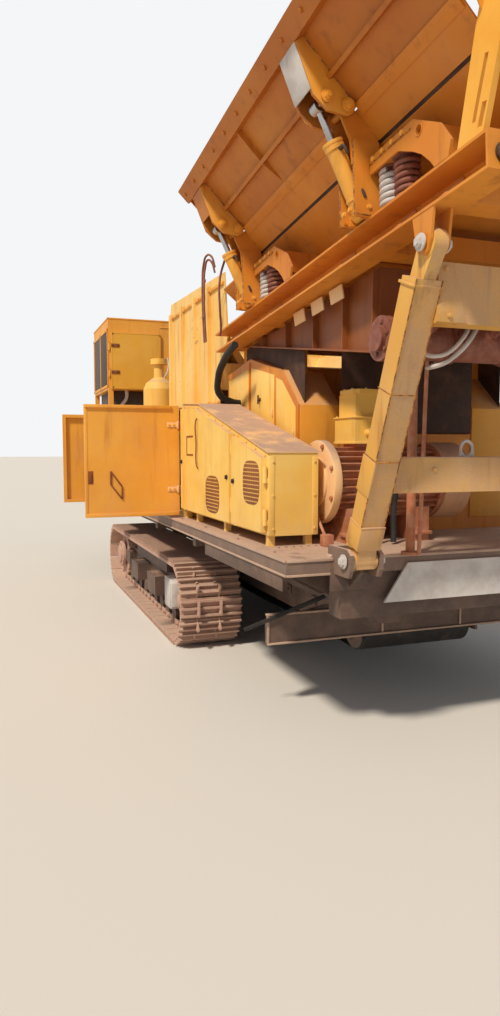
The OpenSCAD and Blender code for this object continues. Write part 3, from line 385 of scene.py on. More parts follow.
# %% Places
TILT = math.radians(4.2)
FEEDER = Matrix(((math.cos(TILT), 0, -math.sin(TILT), 1.740), (0, 1, 0, 0),
                 (math.sin(TILT), 0, math.cos(TILT), 2.344), (0, 0, 0, 1)))
WALL = FEEDER @ Matrix.Translation((0, -1.000, 0.634)) @ Matrix.Rotation(math.radians(44), 4, "X")
MIRROR = Matrix.Diagonal((1, -1, 1, 1))
HERE = Matrix.Identity(4)
HANDS = (("right", HERE), ("left", MIRROR))
BOTH = (HERE, MIRROR)


def mm(x, y, z):
    """A point in millimetres as a vector in metres."""
    return Vector((x, y, z)) / 1000


def at(point, axis=(0, 0, 1), frame_of=HERE, turn=0.0):
    """The matrix that stands a part, made along Z at the origin, on a point and along an axis."""
    turned = Vector(axis).to_track_quat("Z", "Y").to_matrix().to_4x4()
    return frame_of @ Matrix.Translation(mm(*point)) @ turned @ Matrix.Rotation(turn, 4, "Z")


def both_sides(places):
    """The same places on the right and on the left of the machine."""
    return places + [MIRROR @ place for place in places]


print("feeder slope", round(math.degrees(TILT), 1), "degrees")

# %% [markdown]
# ## Plates, bars and bent tubes
# Nearly everything on a crusher is plate, bar or tube. A plate is a cube brought to its size with its
# edges broken by a small bevel, because no real plate has a perfectly sharp edge. A profile plate is a
# flat outline that is extruded. A bar is a cylinder with chamfered ends, and a tube is a curve with a
# round section that follows its route and is then made a mesh.


# %% Plate, profile, bar and tube
def plate(low, high, bevel=2.0, place=HERE):
    """A plate between two corners, with broken edges."""
    clear()
    bpy.ops.mesh.primitive_cube_add(size=1)
    piece = bpy.context.object
    bpy.ops.object.mode_set(mode="EDIT")
    bpy.ops.mesh.select_all(action="SELECT")
    size = mm(*high) - mm(*low)
    bpy.ops.transform.resize(value=size)
    bpy.ops.transform.translate(value=(mm(*high) + mm(*low)) / 2)
    bpy.ops.mesh.bevel(offset=min(bevel / 1000, min(size) * 0.3), segments=2, affect="EDGES")
    bpy.ops.object.mode_set(mode="OBJECT")
    return put(piece, place)


def profile(points, thick, place=HERE, bevel=1.5):
    """An outline in the XY plane of a place, extruded along Z by its thickness."""
    clear()
    bpy.ops.mesh.primitive_circle_add(vertices=len(points), radius=1, fill_type="NGON")
    piece = bpy.context.object
    for vertex, (x, y) in zip(piece.data.vertices, points):
        vertex.co = mm(x, y, 0)
    bpy.ops.object.mode_set(mode="EDIT")
    bpy.ops.mesh.select_all(action="SELECT")
    bpy.ops.mesh.extrude_region_move(TRANSFORM_OT_translate={"value": (0, 0, thick / 1000)})
    bpy.ops.mesh.select_all(action="SELECT")
    bpy.ops.mesh.normals_make_consistent(inside=False)
    if bevel:
        bpy.ops.mesh.bevel(offset=bevel / 1000, segments=2, affect="EDGES")
    bpy.ops.object.mode_set(mode="OBJECT")
    return put(piece, place)


def bar(start, end, radius, sides=24, chamfer=2.0, place=HERE):
    """A round bar between two points, with chamfered ends."""
    a, b = mm(*start), mm(*end)
    clear()
    bpy.ops.mesh.primitive_cylinder_add(vertices=sides, radius=radius / 1000, depth=(b - a).length)
    piece = bpy.context.object
    bpy.ops.object.mode_set(mode="EDIT")
    pick(lambda edge: len(edge.link_faces) == 2 and abs(edge.calc_face_angle(0)) > 1.2, "EDGE")
    bpy.ops.mesh.bevel(offset=chamfer / 1000, segments=2, affect="EDGES")
    bpy.ops.object.mode_set(mode="OBJECT")
    turned = (b - a).to_track_quat("Z", "Y").to_matrix().to_4x4()
    return put(piece, place @ Matrix.Translation((a + b) / 2) @ turned)


def tube(points, radius, place=HERE, closed=False, sides=3):
    """A bent tube through some points."""
    curve = bpy.data.curves.new("tube", "CURVE")
    curve.dimensions = "3D"
    curve.bevel_depth = radius / 1000
    curve.bevel_resolution = sides
    curve.resolution_u = 6
    curve.use_fill_caps = True
    spline = curve.splines.new("BEZIER")
    spline.bezier_points.add(len(points) - 1)
    for knot, point in zip(spline.bezier_points, points):
        knot.co = mm(*point)
        knot.handle_left_type = knot.handle_right_type = "AUTO"
    spline.use_cyclic_u = closed
    piece = bpy.data.objects.new("tube", curve)
    bpy.context.scene.collection.objects.link(piece)
    clear()
    piece.select_set(True)
    bpy.context.view_layer.objects.active = piece
    bpy.ops.object.convert(target="MESH")
    return put(bpy.context.object, place)


print("plate, profile, bar and tube ready")

# %% [markdown]
# ## Bolts and pin caps
# A hexagon bolt sits on a washer and its head has a chamfer. One is modelled for each size and copied
# to its places. A pin end is a thick washer with a hexagon nut. At this distance twenty sides are
# enough for a bolt's washer, thirty-two for a pin's, and six for a head.


# %% Bolt and pin end
def bolt(size):
    """A hexagon head of that thread size on its washer, standing on the XY plane."""
    clear()
    bpy.ops.mesh.primitive_cylinder_add(vertices=20, radius=size * 1.05 / 1000, depth=size * 0.18 / 1000,
                                        location=(0, 0, size * 0.09 / 1000))
    washer = bpy.context.object
    clear()
    bpy.ops.mesh.primitive_cylinder_add(vertices=6, radius=size * 0.87 / 1000, depth=size * 0.62 / 1000,
                                        location=(0, 0, size * 0.49 / 1000))
    head = bpy.context.object
    bpy.ops.object.mode_set(mode="EDIT")
    pick(lambda face: face.normal.z > 0.9)
    bpy.ops.mesh.inset(thickness=size * 0.1 / 1000, depth=size * 0.05 / 1000)
    bpy.ops.object.mode_set(mode="OBJECT")
    return join([washer, head])


def pin_end(radius):
    """A pin's end: a thick washer, the pin's shoulder and a hexagon nut."""
    clear()
    bpy.ops.mesh.primitive_cylinder_add(vertices=32, radius=radius / 1000, depth=0.006,
                                        location=(0, 0, 0.003))
    washer = bpy.context.object
    bpy.ops.object.mode_set(mode="EDIT")
    pick(lambda face: face.normal.z > 0.9)
    bpy.ops.mesh.inset(thickness=0.003)
    bpy.ops.mesh.extrude_region_move(TRANSFORM_OT_translate={"value": (0, 0, 0.0015)})
    bpy.ops.object.mode_set(mode="OBJECT")
    clear()
    bpy.ops.mesh.primitive_cylinder_add(vertices=6, radius=radius * 0.68 / 1000, depth=0.013,
                                        location=(0, 0, 0.0135))
    nut = bpy.context.object
    bpy.ops.object.mode_set(mode="EDIT")
    pick(lambda face: face.normal.z > 0.9)
    bpy.ops.mesh.inset(thickness=radius * 0.2 / 1000)
    bpy.ops.mesh.extrude_region_move(TRANSFORM_OT_translate={"value": (0, 0, 0.005)})
    bpy.ops.object.mode_set(mode="OBJECT")
    return join([washer, nut])


ARMS = [2320, 790]
fold_pins = [at((u + d * 96, -1055, 622), (d, 0, 0), FEEDER) for u in ARMS for d in (-1, 1)]
finish(spread(pin_end(31), both_sides(fold_pins)), "fold_pin_ends", orange)
rod_pins = [at((u + d * 98, -1160, 644), (d, 0, 0), FEEDER) for u in ARMS for d in (-1, 1)]
finish(spread(pin_end(29), rod_pins), "rod_pin_ends_right", orange, "hopper_wall_right")
finish(spread(pin_end(29), [MIRROR @ place for place in rod_pins]), "rod_pin_ends_left", orange,
       "hopper_wall_left")
eye_pins = [at((u + d * 60, -950, 186), (d, 0, 0), FEEDER) for u in ARMS for d in (-1, 1)]
finish(spread(pin_end(22), both_sides(eye_pins)), "cylinder_pin_ends", orange)
strut_pins = [at((4557, y + d * 58, 2430), (0, d, 0)) for y in (-900, 900) for d in (-1, 1)]
strut_pins += [at((4000, y + d * 100, 1050), (0, d, 0)) for y in (-900, 900) for d in (-1, 1)]
finish(spread(pin_end(36), strut_pins), "strut_pin_ends", grey_coat)
print("pin ends:", 8 * 3 + 8)

# %% [markdown]
# ## Coil springs
# The feeder stands on eight coil springs, in pairs under its four lifting ears. The Screw modifier winds
# a round wire up its own axis, which gives the true helix. The wire ends are closed, and each spring
# sits between two turned cups. The outer springs have shed their dust and show rust, the inner ones of
# each pair are caked grey.


# %% Springs
def coil(turns=6, wire=12, mean=48, height=196):
    clear()
    bpy.ops.mesh.primitive_circle_add(vertices=12, radius=wire / 1000, fill_type="NGON",
                                      rotation=(math.pi / 2, 0, 0), location=mm(mean, 0, wire))
    piece = bpy.context.object
    bpy.ops.object.transform_apply(location=True, rotation=True, scale=True)
    bpy.ops.object.mode_set(mode="EDIT")
    bpy.ops.mesh.select_all(action="SELECT")
    bpy.ops.mesh.delete(type="ONLY_FACE")
    bpy.ops.object.mode_set(mode="OBJECT")
    screw = piece.modifiers.new("wind", "SCREW")
    screw.axis = "Z"
    screw.iterations = turns
    screw.steps = screw.render_steps = 30
    screw.screw_offset = (height - 2 * wire) / 1000 / turns
    bpy.ops.object.modifier_apply(modifier="wind")
    edit(piece)
    bpy.ops.mesh.select_mode(type="EDGE")
    bpy.ops.mesh.select_non_manifold()
    bpy.ops.mesh.fill()
    bpy.ops.mesh.select_all(action="SELECT")
    bpy.ops.mesh.normals_make_consistent(inside=False)
    bpy.ops.object.mode_set(mode="OBJECT")
    return piece


rusty = [at((u, -866, 142), (0, 0, 1), FEEDER, 0.8) for u in (2588, 1058)]
caked = [at((u, -866, 142), (0, 0, 1), FEEDER, 2.1) for u in (2462, 932)]
rusty_springs = finish(spread(coil(), both_sides(rusty)), "rusty_springs", rust_brown_and_shade, smooth=60)
caked_springs = finish(spread(coil(), both_sides(caked)), "caked_springs", grey_coat, smooth=60)
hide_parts("springs")
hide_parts("springs")
cup = join([bar((0, 0, 0), (0, 0, 8), 62, 40), bar((0, 0, 8), (0, 0, 26), 34, 32)])
cups = [at((u, -866, 140), (0, 0, 1), FEEDER) for u in (2462, 2588, 932, 1058)]
cups += [at((u, -866, 340), (0, 0, -1), FEEDER) for u in (2462, 2588, 932, 1058)]
finish(spread(cup, both_sides(cups)), "spring_cups", rust_brown_and_shade)
print("springs:", 8)

# %% [markdown]
# ## Two ways to stand an outline up
# A profile is drawn flat. Seen from the side its outline runs along X and Z, and seen from the end it
# runs along Y and Z. One matrix for each stands it up where its first face lies.


# %% Side-on and end-on
def side_on(y):
    """Outline in X and Z, extruded towards -Y from that y."""
    return Matrix.Translation((0, y / 1000, 0)) @ Matrix.Rotation(math.pi / 2, 4, "X")


def end_on(x):
    """Outline in Y and Z, extruded towards +X from that x."""
    return Matrix(((0, 0, 1, x / 1000), (1, 0, 0, 0), (0, 1, 0, 0), (0, 0, 0, 1)))


print("standing matrices ready")

# %% [markdown]
# ## Belt guard: roof sheet, trim and louvres
# The guard is a box of folded sheet. Its roof sheet hangs over the sides by some 15 mm, an angle iron is
# riveted along the slope above the doors, and each door has a patch of small pressed louvres. A louvre
# is a half-round lip over a slit: half a small sphere, stretched, and copied in rows.

# %% Guard roof and trim
ROOF = [(1496, 1961), (1980, 1931), (3396, 1580)]
under = [(x, z - 1) for x, z in ROOF]
over = [(x, z + 4) for x, z in reversed(ROOF)]
finish(profile(under + over, 326, side_on(-840), 0), "guard_roof_sheet", dusty_pale)
lip = [(1520, 1950), (1980, 1921), (3388, 1572), (3388, 1538), (1978, 1888), (1520, 1917)]
finish(profile(lip, 5, side_on(-1150), 0.8), "guard_slope_trim", pale)
rivets = []
for a, b, count in ((Vector((1560, 1932)), Vector((1960, 1906)), 4),
                    (Vector((2080, 1880)), Vector((3340, 1568)), 9)):
    for i in range(count):
        spot = a.lerp(b, i / (count - 1))
        rivets.append(at((spot.x, -1155, spot.y), (0, -1, 0)))
rivets += [at((3391, y, z), (1, 0, 0)) for y in (-1130, -875) for z in (1150, 1340, 1530)]
finish(spread(bolt(9), rivets), "guard_bolts", pale)
corner = [plate((3386, -1156, 1112), (3393, -1120, 1560)), plate((3386, -888, 1112), (3393, -852, 1560)),
          plate((3352, -1156, 1112), (3392, -1150, 1560))]
finish(join(corner), "guard_end_edges", pale)
print("guard trim and", len(rivets), "bolts")

# %% Louvre patches
def louvre(long=24, high=9, proud=4):
    """One pressed lip: the upper half of a small ball, stretched sideways and left open below."""
    clear()
    bpy.ops.mesh.primitive_uv_sphere_add(segments=10, ring_count=6, radius=0.5)
    piece = bpy.context.object
    bpy.ops.object.mode_set(mode="EDIT")
    bpy.ops.mesh.select_all(action="SELECT")
    bpy.ops.mesh.bisect(plane_co=(0, 0, 0), plane_no=(0, 0, 1), clear_inner=True, use_fill=True)
    bpy.ops.mesh.select_all(action="SELECT")
    bpy.ops.transform.resize(value=(long / 1000, high / 1000, 2 * proud / 1000), center_override=(0, 0, 0))
    bpy.ops.object.mode_set(mode="OBJECT")
    return piece


def patch(x, z, wide, tall, pitch_x, pitch_z, y):
    """Places for louvres in rows inside an oval."""
    places = []
    rows, columns = int(tall / pitch_z), int(wide / pitch_x)
    for i in range(rows + 1):
        for j in range(columns + 1):
            dx, dz = (j - columns / 2) * pitch_x, (i - rows / 2) * pitch_z
            if abs(2 * dx / wide) ** 4 + abs(2 * dz / tall) ** 4 < 1.05:
                places.append(at((x + dx, y, z + dz), (0, -1, 0)))
    return places


far_patch = patch(2420, 1290, 300, 230, 30, 24, -1192)
near_patch = patch(3195, 1405, 260, 230, 30, 24, -1192)
# An oval dark plate behind each patch paints the shade in the slits, and the rust and dust there
for x, z, wide, door in ((2420, 1290, 322, "far"), (3195, 1405, 282, "near")):
    oval = []
    for k in range(32):
        c, d = math.cos(math.tau * k / 32), math.sin(math.tau * k / 32)
        oval.append((x + wide / 2 * math.copysign(abs(c) ** 0.6, c),
                     z + 128 * math.copysign(abs(d) ** 0.6, d)))
    finish(profile(oval, 2, side_on(-1190), 0.4), "louvre_shade_plate_" + door, dark_orange, "guard_door_" + door)
finish(spread(louvre(), far_patch), "louvres_far", pale_lip, "guard_door_far")
finish(spread(louvre(), near_patch), "louvres_near", pale_lip, "guard_door_near")
print("louvres:", len(far_patch) + len(near_patch))

# %% [markdown]
# ## Door furniture
# The guard's doors have round locks, a hanging stay and hinge straps. The two large leaves of the
# flywheel bay stand open: each has a fold along its top and foot, a lock near its free edge, a bent bar
# handle shaped like a leaning diamond, and two strap hinges with dusty knuckles.


# %% Guard door furniture
def round_lock():
    """A round escutcheon with a grip across it, standing on the XY plane."""
    return join([bar((0, 0, 0), (0, 0, 5), 17, 24), plate((-5, -13, 4), (5, 13, 16))])


stay = tube([(2052, -1194, 1822), (2050, -1203, 1800), (2058, -1203, 1640), (2066, -1203, 1480),
             (2092, -1201, 1460)], 5)
finish(stay, "door_stay", dark_orange, "guard_door_far")
locks = [at((2745, -1191, 1420), (0, -1, 0)), at((1600, -1191, 1500), (0, -1, 0))]
finish(spread(round_lock(), locks), "guard_locks_far", dark_steel, "guard_door_far")
finish(spread(round_lock(), [at((2875, -1191, 1400), (0, -1, 0))]), "guard_lock_near", dark_steel,
       "guard_door_near")
hoop = [(1750, 1550), (1930, 1550), (1930, 1562), (1764, 1562), (1764, 1688), (1930, 1688), (1930, 1700),
        (1750, 1700)]
finish(profile(hoop, 4, side_on(-1190), 0.6), "door_handle_frame", dark_orange, "guard_door_far")
print("guard door furniture made")

# %% Bay leaf furniture
def leaf_parts(x, sign, name, body):
    """Folds, handle, lock, hinge straps and bolts on the outer face of one bay leaf."""
    out = x + sign * 18
    def across(low, high, bevel=1.5):
        a, b = out + sign * low[0], out + sign * high[0]
        return plate((min(a, b), low[1], low[2]), (max(a, b), high[1], high[2]), bevel)
    folds = [across((-0.5, -1930, 1916), (17, -1262, 1940)), across((-0.5, -1928, 1071), (11, -1200, 1102)),
             across((-0.5, -1935, 1104), (3, -1915, 1914))]
    finish(join(folds), name + "_folds", orange, body)
    face = out + sign * 1
    corners = [(face + sign * 6, y, z) for y, z in ((-1741, 1428), (-1742, 1325), (-1655, 1211),
                                                    (-1655, 1309))]
    ring = [bar(corners[i], corners[i - 1], 6, 12) for i in range(4)]
    finish(join(ring), name + "_handle", dark_orange, body)
    lock_plate = [across((-0.5, -1915, 1330), (3, -1875, 1430)), across((2, -1901, 1352), (11, -1888, 1408))]
    finish(join(lock_plate), name + "_lock", dark_orange, body)
    straps = []
    for z in (1281, 1791):
        straps.append(across((-0.5, -1290, z - 18), (7, -1196, z + 18)))
        straps.append(across((5, -1215, z - 30), (12, -1200, z + 30)))
    finish(join(straps), name + "_straps", dusty_pale, body)
    heads = [at((out, y, z), (sign, 0, 0)) for y, z in ((-1840, 1930), (-1483, 1930), (-1700, 1086),
                                                        (-1260, 1086))]
    heads += [at((out + sign * 7, y, z), (sign, 0, 0)) for y in (-1275, -1238) for z in (1281, 1791)]
    finish(spread(bolt(10), heads), name + "_bolts", orange, body)


leaf_parts(1510, 1, "near_leaf", "bay_door_near")
leaf_parts(-210, -1, "far_leaf", "bay_door_far")
print("bay leaves furnished")

# %% [markdown]
# ## Feeder frame and hopper details
# Bolted cover plates, tabs and gussets stand along the feeder's channel, thin fillets of weld run along
# the seams of the ears, and the hopper's steep walls have wear plates held by rows of countersunk
# bolts on the inside, as on any stone hopper.

# %% Feeder frame bolts and tabs
heads = []
for u in (2440, 2520, 2600, 2680, 910, 1000, 1090, 1160):
    heads.append(at((u, -945, 385), (0, -1, 0), FEEDER))
for u in (2290, 2350, 760, 820):
    heads.append(at((u, -1020, 180), (0, -1, 0), FEEDER))
heads += [at((u, -812, 70), (0, -1, 0), FEEDER) for u in (230, 520, 700, 1250, 1600, 2200, 2480, 2700, 3060)]
finish(spread(bolt(14), both_sides(heads)), "feeder_bolts", orange)
tabs = [profile([(u, -14), (u + 20, -92), (u + 170, -92), (u + 150, -14)], 8, place @ side_on(-836), 1)
        for u in (1262, 1512, 1752) for place in (FEEDER, MIRROR @ FEEDER)]
finish(join(tabs), "channel_tabs", dusty_pale)
webs = [profile([(-815, 13), (-940, 13), (-815, 124)], 3, place @ FEEDER @ end_on(u + 6), 0.6)
        for u in (140, 330, 1000, 2000, 2560, 2900) for place in BOTH]
finish(join(webs), "channel_gusset_faces", dusty_pale)
braces = []
for place in (FEEDER, MIRROR @ FEEDER):
    braces.append(plate((2650, -640, 300), (2662, -632, 480), 1.5, place))
    for u in (480, 900, 1500, 1950, 2350, 2780):
        braces.append(profile([(-640, 176), (-700, 176), (-640, 300)], 8, place @ end_on(u), 1))
finish(join(braces), "trough_gussets", orange)
print("feeder details:", len(heads) * 2, "bolts")

# %% Wear plates in the hopper
LINER_PITCH = 630
for hand, side in HANDS:
    starts = [640 + i * LINER_PITCH for i in range(4)]
    liners = [plate((u, 0, 20), (u + LINER_PITCH - 20, 7, 440), 1.5, side @ WALL) for u in starts]
    studs = [side @ WALL @ Matrix.Translation(mm(u + a, 7, b)) @ Matrix.Rotation(-math.pi / 2, 4, "X")
             for u in starts for a in (70, 305, 540) for b in (90, 370)]
    finish(join(liners), "liners_" + hand, wear_iron, "hopper_wall_" + hand)
    finish(spread(bolt(12), studs), "liner_bolts_" + hand, wear_iron, "hopper_wall_" + hand)
print("liner plates on each wall:", len(starts))

# %% [markdown]
# ## Portal legs
# The legs are box sections welded from plate. Each has a cap plate, a collar where the lower crossbeam
# meets it, a socket at its foot, gussets beside the upper crossbeam and long weld seams down its edges,
# whose paint has chipped off.


# %% Portal leg fittings
LEG_SLOPE = math.atan2(2330 - 1125, 4430 - 3950)
LEG = Matrix.Translation(mm(4005, -900, 1120)) @ Matrix.Rotation(math.pi / 2 - LEG_SLOPE, 4, "Y")
legs = []
for place in BOTH:
    legs.append(plate((-64, -70, 1250), (66, 70, 1262), 1.5, place @ LEG))
    legs.append(plate((-62, -67, 128), (64, 67, 136), 1.5, place @ LEG))
    legs.append(plate((-61, -66, 10), (63, 66, 128), 1.5, place @ LEG))
    legs.append(plate((-60, -68, 292), (62, -58, 470), 1.5, place @ LEG))
    legs.append(profile([(-838, 2378), (-770, 2378), (-690, 2132), (-838, 2132)], 8, place @ end_on(4499.5),
                        1))
    legs.append(profile([(-838, 1554), (-780, 1554), (-740, 1392), (-838, 1392)], 6, place @ end_on(4159.5),
                        1))
finish(join(legs), "leg_fittings", leg_yellow)
seams = []
for place in BOTH:
    for y in (-962, -838):
        seams.append(tube([(4061, y, 1120), (4300, y, 1704), (4541, y, 2291)], 3.5, place, sides=1))
finish(join(seams), "leg_weld_seams", weld)
heads = [at((4508, y, z), (1, 0, 0)) for y, z in ((-800, 2350), (-780, 2160))]
heads += [at((4160, y, 1500), (1, 0, 0)) for y in (-600, 0, 600)]
finish(spread(bolt(12), both_sides(heads[:2]) + heads[2:]), "portal_bolts", leg_yellow)
feet = []
for place in BOTH:
    feet.append(profile([(3871, 960), (3885, 900), (3990, 985), (3985, 1000)], 24, place @ side_on(-880), 1))
    feet.append(plate((3872, -1010, 880), (3880, -800, 1000), 1.5, place))
finish(join(feet), "leg_foot_brackets", chassis_coat)
print("portal legs fitted")

# %% [markdown]
# ## Tracks
# Each shoe is held to its links by four bolts between the grousers. Oval link plates with pin ends run
# along both sides of the chain, a bolted cover closes each final drive, and a grey guard box shields
# the near wheel. Dust lies thick on every shoe.

# %% Chain links, shoe bolts and hubs
AXLE, TRACK_R, SHOE_R, SHOES = 1430, 350, 315, 46
PITCH_MM = (4 * AXLE + 2 * math.pi * SHOE_R) / SHOES


def loop(s):
    """The point and outward direction on the chain at that distance along it."""
    half = math.pi * SHOE_R
    if s < 2 * AXLE:
        return AXLE - s, TRACK_R - SHOE_R, math.pi
    if s < 2 * AXLE + half:
        a = (s - 2 * AXLE) / SHOE_R
        return -AXLE - SHOE_R * math.sin(a), TRACK_R - SHOE_R * math.cos(a), math.pi - a
    if s < 4 * AXLE + half:
        return s - 3 * AXLE - half, TRACK_R + SHOE_R, 0.0
    a = (s - 4 * AXLE - half) / SHOE_R
    return AXLE + SHOE_R * math.sin(a), TRACK_R + SHOE_R * math.cos(a), -a


def on_chain(s, x, y, z):
    """A place in the frame of the shoe at that distance, x along the chain and z outwards."""
    px, pz, turn = loop(s % (PITCH_MM * SHOES))
    return Matrix.Translation(mm(px, 0, pz)) @ Matrix.Rotation(turn, 4, "Y") @ Matrix.Translation(mm(x, y, z))


def small_head():
    """A plain hexagon head, light enough to be copied hundreds of times."""
    clear()
    bpy.ops.mesh.primitive_cylinder_add(vertices=6, radius=0.013, depth=0.012, location=(0, 0, 0.006))
    return bpy.context.object


def link_plate():
    """An oval link with a boss at each end, drawn flat along X."""
    outline = [(-62, -20), (-48, -27), (0, -21), (48, -27), (62, -20), (62, 8), (48, 24), (0, 18), (-48, 24),
               (-62, 8)]
    return join([profile(outline, 12, bevel=0), bar((-40, 0, 0), (-40, 0, 18), 15, 12, 1)])


heads, links = [], []
for i in range(SHOES):
    s = (i + 0.04) * PITCH_MM
    heads += [on_chain(s, x * PITCH_MM, y, 4) for x in (-0.17, 0.17) for y in (-1105, -955)]
    links += [on_chain(s, 0, y, -52) @ Matrix.Rotation(math.pi / 2, 4, "X") for y in (-1110, -928)]
finish(spread(small_head(), both_sides(heads)), "shoe_bolts", track_iron)
finish(spread(link_plate(), both_sides(links)), "chain_links", track_iron)
hubs, caps = [], []
for place in BOTH:
    for x in (-1430, 1430):
        hubs.append(bar((x, -1134, 350), (x, -1172, 350), 95 if x > 0 else 150, 40, 5, place))
        hubs.append(bar((x, -1170, 350), (x, -1190, 350), 48 if x > 0 else 105, 36, 4, place))
    caps += [place @ at((-1430 + 128 * math.cos(a), -1172, 350 + 128 * math.sin(a)), (0, -1, 0))
             for a in [math.radians(30 * k) for k in range(12)]]
    caps += [place @ at((1430 + 72 * math.cos(a), -1172, 350 + 72 * math.sin(a)), (0, -1, 0))
             for a in [math.radians(60 * k) for k in range(6)]]
finish(join(hubs), "track_hubs", track_iron)
finish(spread(bolt(10), caps), "hub_bolts", track_iron)
covers = []
for place in BOTH:
    shape = [(1060, 250), (1280, 250), (1300, 270), (1300, 470), (1270, 500), (1060, 500)]
    covers.append(profile(shape, 78, place @ side_on(-1136), 3))
    covers.append(plate((1080, -1220, 270), (1280, -1214, 480), 2, place))
    covers += [bar((x, -1213, z), (x, -1224, z), 9, 12, 1.5, place) for x in (1098, 1262) for z in (288, 462)]
finish(join(covers), "tensioner_covers", grey_coat)
print("shoe bolts:", len(heads) * 2, "links:", len(links) * 2)

# %% [markdown]
# ## Deck edge, brackets and tail
# The deck is a plate on an edge channel whose lips are pale with dust and painted highlight. Below it
# triangular brackets tie it to the chassis. The conveyor's tail stands out behind the tracks: a bent plate
# with a paler lip, also painted highlight, a loose rubber flap and flange bearings on the drum's shaft.

# %% Deck edge
# The lips take the pale edge paint, partly dust and partly painted highlight
lips = []
for place in BOTH:
    lips.append(plate((-3698, -1259, 1036), (3868, -1249, 1050), 2, place))
    lips.append(plate((-3698, -1257, 963), (3868, -1249, 975), 2, place))
lips += [plate((3869, -1250, 1036), (3878, -994, 1050)), plate((3869, -806, 1036), (3878, 806, 1050)),
         plate((3869, 994, 1036), (3878, 1250, 1050)), plate((3869, -1250, 963), (3877, -994, 975)),
         plate((3869, 994, 963), (3877, 1250, 975))]
finish(join(lips), "deck_lips", edge_coat)
heads = [at((3440, -1120 + 45 * k, 1050)) for k in range(6)]
heads += [at((x, -1210, 1050)) for x in (-3300, -2500, -1700, -900, 1650, 2300, 3000, 3600)]
heads += [at((x, 1210, 1050)) for x in (-3300, -2500, -1700, -900, 0, 900, 1650, 2300, 3000, 3600)]
finish(spread(bolt(13), heads), "deck_bolts", edge_coat)
gussets = []
for place in BOTH:
    for x in (-1950, 3100, 3640):
        gussets.append(profile([(-1190, 962), (-622, 962), (-622, 700), (-700, 700)], 12,
                               place @ end_on(x - 6), 1.5))
    gussets.append(plate((2420, -1245, 880), (3800, -1237, 964), 2, place))
    gussets.append(plate((-3600, -1245, 900), (-2300, -1237, 964), 2, place))
finish(join(gussets), "chassis_brackets", chassis_coat)
print("deck edge with", len(heads), "bolts")

# %% Conveyor tail
# The tail's lips take the pale edge paint as well, partly painted highlight
tail = [plate((3152, -1084, 602), (3186, -452, 613), 2), plate((3152, 452, 602), (3186, 1084, 613), 2),
        plate((3176, -1082, 424), (3190, 1082, 436), 2), plate((3176, -1084, 430), (3184, -1068, 610), 2),
        plate((3176, 1068, 430), (3184, 1084, 610), 2), plate((3176, -300, 440), (3186, -288, 604), 2),
        plate((3176, 288, 440), (3186, 300, 604), 2)]
finish(join(tail), "tail_lips", edge_coat)
flap = profile([(-1240, 545), (-1225, 525), (-700, 690), (-715, 712)], 10, end_on(3190), 1)
finish(flap, "tail_flap", rubber)
bearings, heads = [], []
for place in BOTH:
    bearings.append(plate((2925, -470, 375), (3075, -449, 485), 6, place))
    bearings.append(bar((3000, -468, 430), (3000, -496, 430), 48, 32, 5, place))
    heads += [place @ at((x, -470, z), (0, -1, 0)) for x in (2943, 3057) for z in (392, 468)]
    for x in range(700, 2900, 450):
        bearings.append(plate((x - 32, -462, 484), (x + 32, -450, 550), 3, place))
        heads.append(place @ at((x, -462, 515), (0, -1, 0)))
finish(join(bearings), "tail_bearings", chassis_coat)
finish(spread(bolt(12), heads), "tail_bolts", chassis_coat)
print("tail fitted")

# %% [markdown]
# ## Drive motor
# Between the coarse ribs of the casing run finer cooling ribs. A ring of bolts holds the drive-end
# shield, a threaded rod on a bracket tensions the belts, and the two-tier terminal box has bolted
# flanges and two armoured cables that drop to the deck.

# %% Motor ribs, shield and terminals
MOTOR_X, MOTOR_Z = 3225, 1405
MOTOR = Matrix.Translation(mm(MOTOR_X, 0, MOTOR_Z))
fins = []
for k in range(-5, 6):
    for q in (0, 180):
        turn = Matrix.Rotation(math.radians(12 * k + q + 6), 4, "Y")
        fins.append(plate((187, -728, -2.2), (222, -70, 2.2), 1, MOTOR @ turn))
finish(join(fins), "motor_ribs", motor_coat)
shield = [bar((MOTOR_X, -735, MOTOR_Z), (MOTOR_X, -785, MOTOR_Z), 248, 64, 6),
          bar((MOTOR_X, -783, MOTOR_Z), (MOTOR_X, -800, MOTOR_Z), 150, 48, 5)]
shield += [plate((MOTOR_X - 12, -726, MOTOR_Z + d * 190), (MOTOR_X + 12, -700, MOTOR_Z + d * 222), 3)
           for d in (-1, 1)]
finish(join(shield), "motor_end_shield", dusty_pale)
heads = [at((MOTOR_X + 224 * math.cos(a), -785, MOTOR_Z + 224 * math.sin(a)), (0, -1, 0))
         for a in [math.radians(22.5 + 45 * k) for k in range(8)]]
heads += [at((MOTOR_X + d * 185, y, 1110), (0, 0, 1)) for d in (-1, 1) for y in (-668, -612, -208, -152)]
finish(spread(bolt(15), heads), "motor_bolts", motor_coat)
feet = [plate((MOTOR_X + d * 185 - 45, y - 60, 1088), (MOTOR_X + d * 185 + 45, y + 60, 1110), 4)
        for d in (-1, 1) for y in (-640, -180)]
feet += [bar((3250, -832, 1290), (3478, -832, 1075), 9, 12), plate((3440, -862, 1050), (3500, -802, 1118), 4)]
finish(join(feet), "motor_feet", motor_coat)
lids = [plate((3087, -608, 1783), (3363, -292, 1792), 2), plate((3088, -607, 1630), (3362, -293, 1644), 2)]
finish(join(lids), "terminal_flanges", pale)
heads = [at((MOTOR_X + x, -453 + y, 1953)) for x, y in ((-97, -60), (-97, 60), (97, -60), (97, 60),
                                                        (-50, -125), (50, -125),
                                                    (-50, 125), (50, 125))]
heads += [at((MOTOR_X + x, -450 + y, 1792)) for x in (-122, 122) for y in (-140, 0, 140)]
finish(spread(bolt(9), heads), "terminal_bolts", pale)
CABLE_ROWS = (-510, -390)
